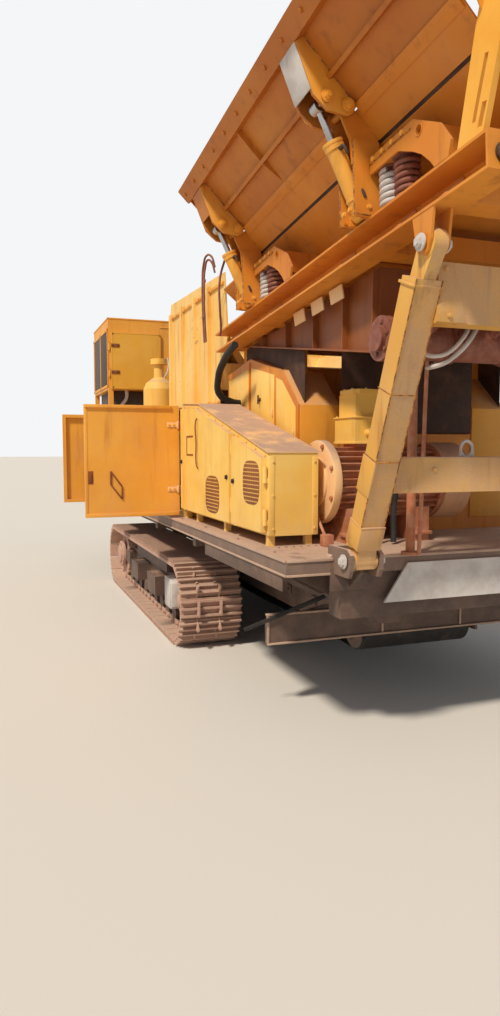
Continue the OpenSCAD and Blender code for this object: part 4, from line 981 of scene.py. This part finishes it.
cables = [tube([(3410, y, 1695), (3480, y - 4, 1670), (3520, y - 12, 1500), (3500, y - 30, 1250),
                (3520, y - 40, 1062)],
               17) for y in CABLE_ROWS]
finish(join(cables), "motor_cables", rubber)
glands = [bar((3412, y, 1695), (3430, y, 1695), 30, 6) for y in CABLE_ROWS]
finish(join(glands), "cable_glands", dark_steel)
print("motor dressed")

# %% [markdown]
# ## Vibrator drive and its conduits
# The drive drum hangs under the upper crossbeam. Clamp bolts hold its bands, and two grey armoured
# conduits loop from the terminal block round its front.

# %% Conduits and clamps
conduits = [tube([(4150, -400, 2252), (4215, -410, 2262), (4285, -470, 2160), (4262, -600, 2010),
                  (4160, -640, 1985),
                  (4075, -560, 2010), (4060, -430, 2080)], 11),
            tube([(4150, -455, 2250), (4235, -480, 2240), (4310, -560, 2110), (4290, -700, 2020),
                  (4250, -800, 2090),
                  (4300, -840, 2190), (4395, -835, 2235)], 10),
            tube([(4180, 380, 2200), (4270, 420, 2140), (4260, 520, 2010), (4160, 560, 1985)], 13)]
finish(join(conduits), "vibrator_conduits", grey_coat, smooth=60)
clamps, heads = [], []
for place in BOTH:
    for y in (-885, -540, -195):
        clamps.append(plate((4246, y - 14, 2092), (4280, y + 14, 2128), 3, place))
        heads.append(place @ at((4263, y, 2128)))
    heads += [place @ at((4150 + 74 * math.cos(a), -905, 2110 + 74 * math.sin(a)), (0, -1, 0))
              for a in [math.radians(60 * k + 15) for k in range(6)]]
finish(join(clamps), "vibrator_clamps", rust_brown_and_shade)
finish(spread(bolt(11), heads), "vibrator_bolts", rust_brown_and_shade)
finish(plate((4096, -486, 2249), (4206, -374, 2260), 2), "vibrator_box_lid", rust_brown_and_shade)
print("conduits looped")

# %% [markdown]
# ## Support housing
# The feeder stands on a folded sheet housing with two doors a side. Each door is a sheet with a turned
# edge, a T-handle and butt hinges. Hoses and hydraulic pipes pass between it and the feeder.

# %% Housing doors and locks
doors, handles, knuckles = [], [], []
for place in BOTH:
    doors.append(profile([(1592, 1120), (2050, 1120), (2050, 2190), (1592, 2140)], 5, place @ side_on(-790),
                         1.5))
    doors.append(profile([(2110, 1120), (2560, 1120), (2560, 2100), (2110, 2195)], 5, place @ side_on(-790),
                         1.5))
    doors.append(profile([(2600, 1120), (2925, 1120), (2925, 1862), (2700, 2050), (2600, 2078)], 5,
                         place @ side_on(-790), 1.5))
    for x, z in ((2300, 1950), (1980, 1800), (2660, 1500)):
        handles.append(bar((x, -794, z), (x, -812, z), 14, 20, 2, place))
        handles.append(bar((x, -812, z - 32), (x, -812, z + 32), 6, 12, 2, place))
    for x, z in ((2540, 1300), (2540, 1850), (1612, 1300), (1612, 1950), (2905, 1300), (2905, 1700)):
        knuckles.append(bar((x, -800, z - 28), (x, -800, z + 28), 8, 12, 1.5, place))
finish(join(doors), "housing_doors", pale)
finish(join(handles), "housing_handles", dark_steel)
finish(join(knuckles), "housing_hinges", dusty_pale)
end_sheet = [(2962, 1130), (2968, 1130), (2968, 1878), (2704, 2118), (2700, 2112), (2962, 1874)]
finish(join([profile(end_sheet, 270, place @ side_on(-510), 1) for place in BOTH]), "housing_end_sheets",
       orange)
skirt = [(1880, 2238), (2080, 2268), (2704, 2118), (2958, 1890), (2958, 2232), (2030, 2366), (1880, 2360)]
skirts_and_shade_sheet = [profile(skirt, 5, place @ side_on(-741), 0.8) for place in BOTH]
# A dark sheet across the housing's end paints the shade behind the terminal box
skirts_and_shade_sheet.append(plate((2968, -496, 1706), (2976, 496, 2212)))
finish(join(skirts_and_shade_sheet), "dust_skirts_and_shade_sheet", brown_rubber)
print("housing doors:", len(doors))

# %% Hoses and pipes at the feeder
hose_run = [(2352, -1000, 2318), (2250, -1004, 2290), (2100, -1002, 2235), (1960, -1000, 2130),
            (1872, -960, 2010),
            (1860, -860, 1960), (1862, -792, 1950)]
finish(join([tube(hose_run, 26, place, sides=4) for place in BOTH]), "black_hoses", rubber)
loops = []
for place in BOTH:
    for gap in (0, 40):
        loops.append(tube([(1700 + gap, -1030, 2420), (1702 + gap, -1040, 2600),
                           (1708 + gap, -1046, 2850 - gap),
                           (1722 + gap, -1040, 3010 - gap), (1765 + gap, -1030,
                                                             3060 - gap), (1830, -1010, 3040 - gap),
                           (1850, -990, 2960 - gap)], 8, place))
    loops.append(plate((1690, -1050, 2600), (1760, -1036, 2625), 2, place))
    loops.append(plate((1690, -1050, 2860), (1770, -1036, 2885), 2, place))
    loops.append(tube([(2140, -1000, 2960), (2150, -1046, 2800), (2130, -1040, 2600), (2060, -1010, 2480),
                       (1960, -985, 2440)], 8, place))
finish(join(loops), "hydraulic_pipes", rust_brown_and_shade)
print("hoses laid")

# %% [markdown]
# ## Cylinders
# Each lifting cylinder has a gland ring with flats, a band near its foot, and two screwed ports with
# elbows. The rod runs through the gland, so that ring has a true hole and clears the rod as it slides.

# %% Cylinder ports
def collar(radius, hole, z0, z1, sides, place):
    """A ring with a hole: both ends of a cylinder inset, and the two inner faces bridged."""
    piece = bar((0, 0, z0), (0, 0, z1), radius, sides, 1.5)
    edit(piece)
    pick(lambda face: abs(face.normal.z) > 0.99 and len(face.verts) >= sides)
    bpy.ops.mesh.inset(thickness=(radius - 1.5 - hole) / 1000)
    bpy.ops.mesh.bridge_edge_loops()
    bpy.ops.mesh.select_all(action="SELECT")
    bpy.ops.mesh.normals_make_consistent(inside=False)
    bpy.ops.object.mode_set(mode="OBJECT")
    return put(piece, place)


rings, elbows = [], []
for u in ARMS:
    tilt = math.atan2(1160 - 950, 644 - 186)
    axis = FEEDER @ Matrix.Translation(mm(u, -950, 186)) @ Matrix.Rotation(tilt, 4, "X")
    rings.append(collar(51, 24, 322, 339, 12, axis))
    rings.append(collar(46, 41, 60, 72, 32, axis))
    for z in (84, 292):
        elbows.append(bar((40, 0, z), (60, 0, z), 11, 6, 1, axis))
        elbows.append(tube([(56, 0, z), (70, 0, z), (76, 0, z - 16), (76, 0, z - 40)], 8, axis))
for hand, side in HANDS:
    bands = [piece.copy() for piece in rings]
    ports = [piece.copy() for piece in elbows]
    for piece in bands + ports:
        piece.data = piece.data.copy()
        bpy.context.scene.collection.objects.link(put(piece, side))
    finish(join(bands), "gland_rings_" + hand, orange)
    finish(join(ports), "port_elbows_" + hand, dark_steel)
for piece in rings + elbows:
    bpy.data.objects.remove(piece)
print("cylinder ports on four cylinders")

# %% [markdown]
# ## Tall cabinet
# The electrical cabinet stands on posts behind the crusher. Two dark strap hinges and a lock plate sit on
# its door, a gutter runs round its roof, and a cable drops from its floor into the open bay.

# %% Cabinet fittings
pads = [plate((-2300, -1146, z - 42), (-2290, -1086, z + 42), 3) for z in (2590, 2930)]
straps = [plate((-2264, -1120, z - 22), (-2257, -1010, z + 22), 2) for z in (2590, 2930)]
finish(join(straps), "cabinet_straps", dark_orange, "tall_cabinet_door")
finish(join(pads), "cabinet_hinge_pads", dark_orange)
lock = [bar((-2266, -500, 2600), (-2252, -500, 2600), 22, 24, 2),
        plate((-2252, -506, 2560), (-2240, -494, 2612), 2)]
finish(join(lock), "cabinet_lock", dark_steel, "tall_cabinet_door")
heads = [at((-2264, y, z), (1, 0, 0)) for y in (-1098, -480) for z in (2396, 3080)]
heads += [at((-2257, y, z), (1, 0, 0)) for y in (-1100, -1030) for z in (2590, 2930)]
finish(spread(bolt(9), heads), "cabinet_bolts", dark_steel, "tall_cabinet_door")
stiff = [plate((-2267, -1100, z), (-2262, -485, z + 6), 1.5) for z in (2384, 3084)]
stiff += [plate((-2267, y, 2384), (-2262, y + 6, 3090), 1.5) for y in (-1110, -483)]
finish(join(stiff), "cabinet_door_edge", olive, "tall_cabinet_door")
roof = [plate((-3606, -1156, 3268), (-2294, -1148, 3284), 2),
        plate((-2302, -1156, 3268), (-2294, 526, 3284), 2),
        plate((-3606, 518, 3268), (-2294, 526, 3284), 2), plate((-3606, -1156, 3268), (-3598, 526, 3284), 2),
        plate((-2300, -470, 2372), (-2292, 520, 2384), 2), plate((-2300, -470, 3186), (-2292, 520, 3198), 2)]
finish(join(roof), "cabinet_gutter", orange)
# Dark sheets paint the shade of the open cabinet side and of the bay under the cabinet
side = [plate((-3520, -1154, 2440), (-2400, -1150, 3130), 1), plate((-2492, -1085, 1062), (-2486, 455, 2366)),
        plate((-3390, -1088, 1502), (-2488, -1082, 2366)), plate((-3400, -300, 3196), (-2400, 400, 3206))]
finish(join(side), "cabinet_painted_shade_sheets", dark_steel)
rails = [plate((-3600, -1160, z), (-2300, -1153, z + 34), 1.5) for z in (2400, 3120)]
rails += [plate((x, -1160, 2400), (x + 40, -1153, 3150), 1.5) for x in (-3600, -2960, -2350)]
rails.append(plate((-2900, -1120, 3196), (-2320, -700, 3262), 3))
finish(join(rails), "cabinet_side_rails", orange)
conduit = tube([(-2420, -900, 2368), (-2405, -902, 2280), (-2390, -980, 2150), (-2400, -1010, 1900),
                (-2440, -1000, 1700),
                (-2450, -1000, 1500)], 22)
cable = tube([(-2310, -380, 2372), (-2296, -330, 2480), (-2290, -260, 2620), (-2294, -150, 2700),
              (-2300, -60, 2690)], 12)
finish(conduit, "cabinet_conduit", grey_coat, smooth=60)
finish(cable, "cabinet_cable", rubber, smooth=60)
lead = tube([(-2252, -380, 2800), (-2240, -372, 2700), (-2215, -420, 2560), (-2200, -560, 2430),
             (-2195, -640, 2330),
             (-2200, -650, 2150), (-2200, -640, 1990), (-2200, -640, 1955)], 9)
finish(lead, "air_cleaner_lead", grey_coat, smooth=60)
posts = [plate((-2380, -1158, z), (-2290, -1148, z + 60), 2) for z in (1080, 1500, 2040)]
posts += [plate((-2362, -1154, 1700), (-2300, -1090, 1708), 2)]
finish(join(posts), "cabinet_post_plates", orange)
print("cabinet fitted")

# %% [markdown]
# ## Power houses, off-side guard and chute
# The engine and hydraulic housings have service doors with handles, hinges and hooded louvres. These
# faces are away from the camera in the photograph, so they follow what such plants carry. The chute
# plates have stiffeners and bolted flanges.


# %% Service doors
def door_frame(x0, x1, z0, z1, y):
    """Four flat strips round a service door, 4 mm proud of the sheet."""
    return [plate((x0, y, z0), (x1, y + 4, z0 + 26), 1.2), plate((x0, y, z1 - 26), (x1, y + 4, z1), 1.2),
            plate((x0, y, z0), (x0 + 26, y + 4, z1), 1.2), plate((x1 - 26, y, z0), (x1, y + 4, z1), 1.2)]


sheets, hoods, pulls, hinges = [], [], [], []
LEFT = [(-3560, -2880, 1120, 2040), (-2840, -2160, 1120, 2040), (-2120, -1440, 1120, 2040),
        (-1400, -760, 1120, 2040)]
RIGHT = [(-2210, -1590, 1120, 1900), (-1560, -940, 1120, 1900), (-910, -300, 1120, 1900)]
for x0, x1, z0, z1 in LEFT:
    sheets += door_frame(x0, x1, z0, z1, 1130)
    pulls.append(bar((x1 - 60, 1134, 1600), (x1 - 60, 1150, 1600), 12, 20))
    pulls.append(plate((x1 - 68, 1148, 1560), (x1 - 52, 1156, 1612), 3))
    hinges += [bar((x0 + 4, 1138, z), (x0 + 4, 1138, z + 70), 9, 12, 1.5) for z in (1220, 1880)]
for x0, x1, z0, z1 in RIGHT:
    sheets += door_frame(x0, x1, z0, z1, -1134)
    pulls.append(bar((x1 - 60, -1134, 1500), (x1 - 60, -1150, 1500), 12, 20))
    pulls.append(plate((x1 - 68, -1156, 1460), (x1 - 52, -1148, 1512), 3))
    hinges += [bar((x0 + 4, -1138, z), (x0 + 4, -1138, z + 70), 9, 12, 1.5) for z in (1200, 1760)]
for x in (-3200, -2500, -1800):
    for i in range(8):
        z = 1325 + i * 70
        hoods.append(profile([(1129, z), (1152, z - 18), (1155, z - 14), (1129, z + 6)], 400, end_on(x - 200),
                             0.8))
for x in (-1980, -1380, -780):
    for i in range(8):
        z = 1262 + i * 60
        hoods.append(profile([(-1129, z), (-1148, z - 14), (-1150, z - 10), (-1129, z + 5)], 340,
                             end_on(x - 170), 0.8))
finish(join(sheets), "service_door_frames", orange)
finish(join(hoods), "service_louvre_hoods", orange)
finish(join(pulls), "service_door_handles", dark_steel)
finish(join(hinges), "service_door_hinges", dark_steel)
pipe = [bar((-1500, 850, 2490), (-1500, 850, 2560), 58, 32, 3),
        tube([(-1500, 850, 2540), (-1500, 850, 2600), (-1530, 850, 2650),
        (-1600, 850, 2665)], 52, sides=5)]
pipe += [bar((-1500, 850, z), (-1500, 850, z + 14), 114, 40, 2) for z in (2196, 2390)]
finish(join(pipe), "exhaust_pipe", rust_brown_and_shade)
tanks = [bar((-3300, 700, 2096), (-3300, 700, 2130), 55, 32, 4),
         bar((-3300, 700, 2128), (-3300, 700, 2142), 62, 8, 4)]
tanks += [plate((-3220 + k * 20, 980, 2099), (-3212 + k * 20, 1080, 2106), 1) for k in range(18)]
finish(join(tanks), "fuel_cap_and_vents", dark_steel)
rings = [plate((x - 8, y - 40, z), (x + 8, y + 40, z + 12), 3) for x, y,
         z in ((-3500, 850, 2098), (-420, 850, 2098))]
eyes = []
for x, y, z in ((-3500, 650, 2100), (-3500, 1050, 2100), (-420, 650, 2100), (-420, 1050, 2100),
                (-2180, -1060, 1950),
                (-330, -1060, 1950)):
    eyes.append(tube([(x - 22, y, z), (x - 22, y, z + 30), (x, y, z + 52), (x + 22, y, z + 30),
                      (x + 22, y, z)], 7))
finish(join(rings + eyes), "lifting_eyes", orange)
print("service doors:", len(LEFT) + len(RIGHT))

# %% Chute and guard details
ribs, heads = [], []
for place in BOTH:
    ribs.append(plate((-150, -868, 1965), (1500, -852, 1985), 2, place))
    ribs.append(plate((-140, -868, 2890), (1650, -852, 2915), 2, place))
    heads += [place @ at((x, -868, z), (0, -1, 0)) for x in range(20, 1460, 160) for z in (1975, 2902)]
    ribs.append(profile([(-190, 2020), (-165, 2020), (-150, 2900), (-160, 2900)], 12, place @ side_on(-850),
                        1))
finish(join(ribs), "chute_flanges", orange)
finish(spread(bolt(11), heads), "chute_bolts", orange)
off = [plate((-180, 1150, 1080), (1480, 1154, 1110), 1.5), plate((-180, 1150, 1900), (1480, 1154, 1930), 1.5)]
off += [plate((x, 1150, 1080), (x + 26, 1154, 1930), 1.5) for x in (-180, 600, 680, 1454)]
finish(join(off), "off_guard_frames", pale)
heads = [at((x, 1154, z), (0, 1, 0)) for x in (-167, 613, 693, 1467) for z in (1110, 1380, 1640, 1900)]
finish(spread(bolt(10), heads), "off_guard_bolts", pale)
meshes = [bar((250 + i * 80 + 15, 1140, 1246), (250 + i * 80 + 15, 1140, 1754), 3, 8, 0.5) for i in range(10)]
finish(join(meshes), "off_guard_rods", dark_steel)
rim = [bar((650, k * 640, 1500), (650, k * 708, 1500), 205, 48, 6) for k in (-1, 1)]
finish(join(rim), "bearing_caps", yellow)
heads = [at((650 + 165 * math.cos(a), k * 708, 1500 + 165 * math.sin(a)), (0, k, 0)) for k in (-1, 1)
         for a in [math.radians(45 * n) for n in range(8)]]
finish(spread(bolt(20), heads), "bearing_bolts", yellow)
nuts = [bar((650, k * 1084, 1500), (650, k * 1112, 1500), 112, 6, 5) for k in (-1, 1)]
finish(join(nuts), "shaft_nuts", dark_steel)
print("chute, guard and bearings fitted")

# %% [markdown]
# ## Main conveyor
# Bearing blocks carry each roller, angle stiffeners run along the side plates, and the head drum has a
# geared motor. A scraper leans on the belt under the head, and a pull cord for stopping runs along.

# %% Conveyor fittings
RAMP = Matrix.Translation(mm(300, 0, 560)) @ Matrix.Rotation(math.radians(20), 4, "Y")
ROLLER_PITCH = 520
blocks, heads, angles = [], [], []
for place in BOTH:
    for x in [-i * ROLLER_PITCH for i in range(1, 12)]:
        blocks.append(plate((x - 40, -463, -75), (x + 40, -450, -12), 3, place @ RAMP))
        heads += [place @ RAMP @ at((x + dx, -463, -44), (0, -1, 0)) for dx in (-26, 26)]
    angles.append(plate((-6290, -474, 98), (0, -450, 110), 2, place @ RAMP))
    angles.append(plate((-6290, -474, -175), (-60, -450, -163), 2, place @ RAMP))
    for i in range(6):
        angles.append(plate((-700 - i * 1040, -472, -163), (-690 - i * 1040, -450, 98), 1.5, place @ RAMP))
    blocks.append(plate((-6330, -480, -185), (-6170, -449, -75), 5, place @ RAMP))
    blocks.append(bar((-6250, -478, -130), (-6250, -505, -130), 50, 32, 4, place @ RAMP))
finish(join(blocks), "roller_blocks", chassis_coat)
finish(spread(bolt(11), heads), "roller_bolts", chassis_coat)
finish(join(angles), "conveyor_angles", chassis_coat)
drive = [bar((-6250, 500, -130), (-6250, 600, -130), 95, 40, 6, RAMP),
         plate((-6330, 505, -90), (-6120, 590, 40), 6, RAMP),
         bar((-6120, 548, -20), (-5830, 548, -20), 62, 36, 5,
             RAMP), bar((-5830, 548, -20), (-5800, 548, -20), 68, 36, 5, RAMP)]
finish(join(drive), "conveyor_gear_motor", motor_coat)
blade = [plate((-6160, -400, -300), (-6150, 400, -262), 2, RAMP),
         bar((-6155, -460, -305), (-6155, 460, -305), 16, 24, 2, RAMP)]
finish(join(blade), "belt_scraper", rubber)
cord = []
for place in BOTH:
    cord.append(tube([(-6200, -490, 130), (-4000, -490, 126), (-2000, -490, 130), (-200, -490, 126)], 4,
                     place @ RAMP, sides=1))
    for i in range(5):
        cord.append(bar((-6200 + i * 1500, -478, 104), (-6200 + i * 1500, -490, 134), 6, 12, 1, place @ RAMP))
finish(join(cord), "pull_cord", orange)
print("conveyor fitted")

# %% [markdown]
# ## Welds and seams
# A weld is a thin bead along the corner where two plates meet. The beads that show most are those of
# the hinge brackets, the lugs and the ears.

# %% Weld beads
beads = []
for place in BOTH:
    for u in ARMS:
        for d in (-1, 1):
            edge = u + d * 69
            beads.append(tube([(edge, -1022, 146), (edge, -1022, 300), (edge, -1022, 484)], 4, place @ FEEDER,
                              sides=1))
            beads.append(tube([(u + d * 85, -1022, 146), (u + d * 85, -960, 143), (u + d * 85, -892, 143)], 4,
                              place @ FEEDER, sides=1))
    for shift in (0, -1530):
        beads.append(tube([(2406 + shift, -934, 338), (2520 + shift, -934, 338), (2660 + shift, -934, 338)],
                          4, place @ FEEDER, sides=1))
        beads.append(tube([(2402 + shift, -948, 372), (2560 + shift, -948, 374), (2740 + shift, -948, 372)],
                          3, place @ FEEDER, sides=1))
finish(join(beads), "weld_beads", weld)
rings = []
for place in BOTH:
    for u in (2799, 1269):
        ring = [(u + 23 * math.cos(a), -946, 339 + 23 * math.sin(a))
                for a in [math.tau * k / 16 for k in range(16)]]
        rings.append(tube(ring, 3.5, place @ FEEDER, closed=True, sides=1))
finish(join(rings), "ear_hole_rims", deep_orange)
seal = [(-893, 521), (-886, 527), (-838, 478), (-845, 471)]
finish(join([profile(seal, 2540, place @ FEEDER @ end_on(600), 1) for place in BOTH]), "hopper_seal_strips",
       brown_rubber)
for hand, side in HANDS:
    wall = "hopper_wall_" + hand
    seams, heads = [], []
    for u in ARMS:
        for d in (-1, 1):
            for edge in (u + d * 66, u + d * 85):
                seams.append(tube([(edge, -10, 20), (edge, -10, 200), (edge, -10, 368)], 3.5, side @ WALL,
                                  sides=1))
    for u in range(660, 3160, 210):
        heads.append(side @ WALL @ Matrix.Translation(mm(u, -60, 428)) @ Matrix.Rotation(math.pi / 2, 4, "X"))
    finish(join(seams), "bracket_welds_" + hand, weld, wall)
    # Thin skins of the lighter plain orange on the brackets' side faces: painted light against the wall's
    # finish, which is darkened as painted shade
    outline = [(-6, 4), (-6, 372), (-60, 378), (-150, 165), (-140, 75), (-75, -5), (-40, -8)]
    faces = [profile(outline, 2, side @ WALL @ end_on(u + d), 0.5) for u in ARMS for d in (83.2, -85.2)]
    finish(join(faces), "bracket_lit_faces_" + hand, orange, wall)
    shield = [(-61, 377), (-129, 218), (-140, 189), (-145, 191), (-133, 220), (-65, 380)]
    finish(profile(shield, 166, side @ WALL @ end_on(ARMS[0] - 83), 0.5), "grey_shield_" + hand, grey_coat,
           wall)
    finish(spread(bolt(12), heads), "rim_bolts_" + hand, wall_orange, wall)
print("weld beads drawn")

# %% [markdown]
# ## Odds and ends round the feed end
# A shackle and a pair of service pipes stand behind the leg, dust lies along the lower crossbeam, the
# legs show the lines where their lengths were joined, and a crust has built up at their feet.

# %% Feed end fittings
ring = [(4110, -380 + 34 * math.cos(a), 1600 + 40 * math.sin(a))
        for a in [math.tau * k / 12 for k in range(12)]]
loose = [tube(ring, 8, closed=True), bar((4110, -414, 1556), (4110, -414, 1590), 9, 16),
         bar((4110, -346, 1556), (4110, -346, 1590), 9, 16)]
finish(join(loose), "beam_shackle", grey_coat, smooth=60)
posts = [bar((3900, -560, 1050), (3900, -560, 2078), 24, 24),
         bar((3900, -560, 1050), (3900, -560, 1066), 48, 32),
         tube([(3930, -500, 2090), (3934, -505, 1950), (3950, -520, 1800), (3960, -530, 1620),
               (3960, -535, 1400),
               (3950, -540, 1056)], 11)]
posts += [bar((3900, 560, 1050), (3900, 560, 2078), 24, 24), bar((3900, 560, 1050), (3900, 560, 1066), 48,
                                                                 32)]
finish(join(posts), "feed_end_posts", motor_coat)
finish(plate((4062, -836, 1556), (4158, 836, 1561), 2), "crossbeam_dust", cream)
bands = []
for place in BOTH:
    bands += [plate((-61, -64, z), (62, 64, z + 5), 1, place @ LEG) for z in (470, 790)]
finish(join(bands), "leg_joint_lines", weld)
heap = [(-1010, 1050), (-790, 1050), (-800, 1064), (-900, 1078), (-990, 1066)]
finish(join([profile(heap, 60, place @ end_on(3800), 4) for place in BOTH]), "dust_crust", edge_coat)
lamps = []
for place in BOTH:
    lamps.append(bar((4950, -880, 2640), (4972, -880, 2640), 40, 32, 4, place))
    lamps.append(plate((4930, -890, 2590), (4950, -870, 2650), 2, place))
finish(join(lamps), "work_lamps", dark_steel)
print("feed end fitted")

# %% [markdown]
# ## Ladder and controls
# On the side away from the camera a short ladder leads to the deck beside the engine housing. Emergency
# stops are set at the four corners, as such plants must have them.

# %% Ladder and stops
ladder = [tube([(x, 1262, 440), (x, 1264, 700), (x, 1262, 960), (x, 1240, 1062)], 17) for x in (-160, 240)]
ladder += [bar((-160, 1264, z), (240, 1264, z), 13, 20, 1) for z in (480, 620, 760, 900)]
ladder.append(tube([(-130, 1215, 1050), (-130, 1215, 1400), (-130, 1215, 1900), (-160, 1190, 1975),
                    (-190, 1154, 1980)], 15))
finish(join(ladder), "side_ladder", dark_steel)
STOPS = [(-3540, -1158, 1700, -1), (-3540, 1138, 1700, 1), (1440, 1158, 1600, 1), (-330, -1138, 1700, -1)]
stops = []
for x, y, z, face in STOPS:
    stops.append(plate((x - 45, min(y, y + face * 40), z - 60), (x + 45, max(y, y + face * 40), z + 60), 4))
finish(join(stops), "stop_boxes", yellow)
knobs = [bar((x, y + face * 40, z), (x, y + face * 66, z), 21, 28, 5) for x, y, z, face in STOPS]
finish(join(knobs), "stop_buttons", stop_red)
panel = [plate((-2296, -300, 1500), (-2250, 200, 2050), 5), plate((-2252, -270, 1540), (-2246, 170, 2010), 2)]
finish(join(panel), "control_box", grey_coat)
print("ladder, stops and controls fitted")

# %% [markdown]
# ## Hopper and feeder, seen from above
# The feeder's floor carries grizzly bars that let the fines through, and the chute behind it is lined
# with bolted wear plates.

# %% Grizzly bars and chute liners
bars = [profile([(-150, 176), (640, 176), (640, 196), (-150, 232)], 22, FEEDER @ side_on(y))
        for y in range(-560, 620, 112)]
bars.append(plate((628, -600, 176), (652, 600, 214), 2, FEEDER))
finish(join(bars), "grizzly_bars", wear_iron)
starts = [660 + i * 620 for i in range(4)]
floor_plates = [plate((u, -606, 176), (u + 610, 606, 183), 1.5, FEEDER) for u in starts]
studs = [at((u + a, b, 183), (0, 0, 1), FEEDER) for u in starts for a in (60, 550)
         for b in (-540, -180, 180, 540)]
finish(join(floor_plates), "feeder_floor_liners", wear_iron)
finish(spread(bolt(13), studs), "feeder_floor_bolts", wear_iron)
lining, studs = [], []
for place in BOTH:
    for x in (-90, 460, 1010):
        lining.append(plate((x, -840, 2620), (x + 520, -833, 2890), 1.5, place))
        studs += [place @ at((x + a, -833, z), (0, 1, 0)) for a in (60, 460) for z in (2660, 2850)]
finish(join(lining), "chute_liners", wear_iron)
finish(spread(bolt(13), studs), "chute_liner_bolts", wear_iron)
print("liners and grizzly bars in place")

# %% [markdown]
# ## Floor, sky and lamps
# A pale floor catches the shadow. The photograph has high sun from the left, so one soft sun stands
# there, and a pale sky fills the rest.

# %% Stage
clear()
bpy.ops.mesh.primitive_circle_add(vertices=64, radius=150, fill_type="NGON", location=(0, 0, -0.001))
floor = bpy.context.object
floor.name = "floor"
floor_finish, tree = blank("pale_floor")
floor_shader = add(tree, "ShaderNodeBsdfPrincipled", {"Base Color": linear("#d9d4cd"), "Roughness": 0.95})
add(tree, "ShaderNodeOutputMaterial", {"Surface": floor_shader.outputs[0]})
floor.data.materials.append(floor_finish)

world = bpy.data.worlds.new("sky")
world.use_nodes = True
bpy.context.scene.world = world
tree = world.node_tree
tree.nodes.clear()
ray = add(tree, "ShaderNodeLightPath")
seen = times(tree, ray.outputs["Is Camera Ray"], ray.outputs["Is Glossy Ray"], "MAXIMUM")
seen = times(tree, seen, ray.outputs["Is Transmission Ray"], "MAXIMUM")
fill = add(tree, "ShaderNodeBackground", {"Color": linear("#e8eef5"), "Strength": 0.38})
pale_sky = add(tree, "ShaderNodeBackground", {"Color": linear("#f4f6f8"), "Strength": 1.0})
both = add(tree, "ShaderNodeMixShader", {0: seen, 1: fill.outputs[0], 2: pale_sky.outputs[0]})
add(tree, "ShaderNodeOutputWorld", {"Surface": both.outputs[0]})

sun_data = bpy.data.lights.new("sun", "SUN")
sun_data.energy = 3.3
sun_data.angle = math.radians(6)
sun_data.color = linear("#fff4e2")[:3]
sun = bpy.data.objects.new("sun", sun_data)
sun_from = Vector((0.56, -0.75, 1.07))
sun.rotation_euler = sun_from.to_track_quat("Z", "Y").to_euler()
bpy.context.scene.collection.objects.link(sun)
bpy.context.scene.view_settings.view_transform = "Standard"
print("stage set")
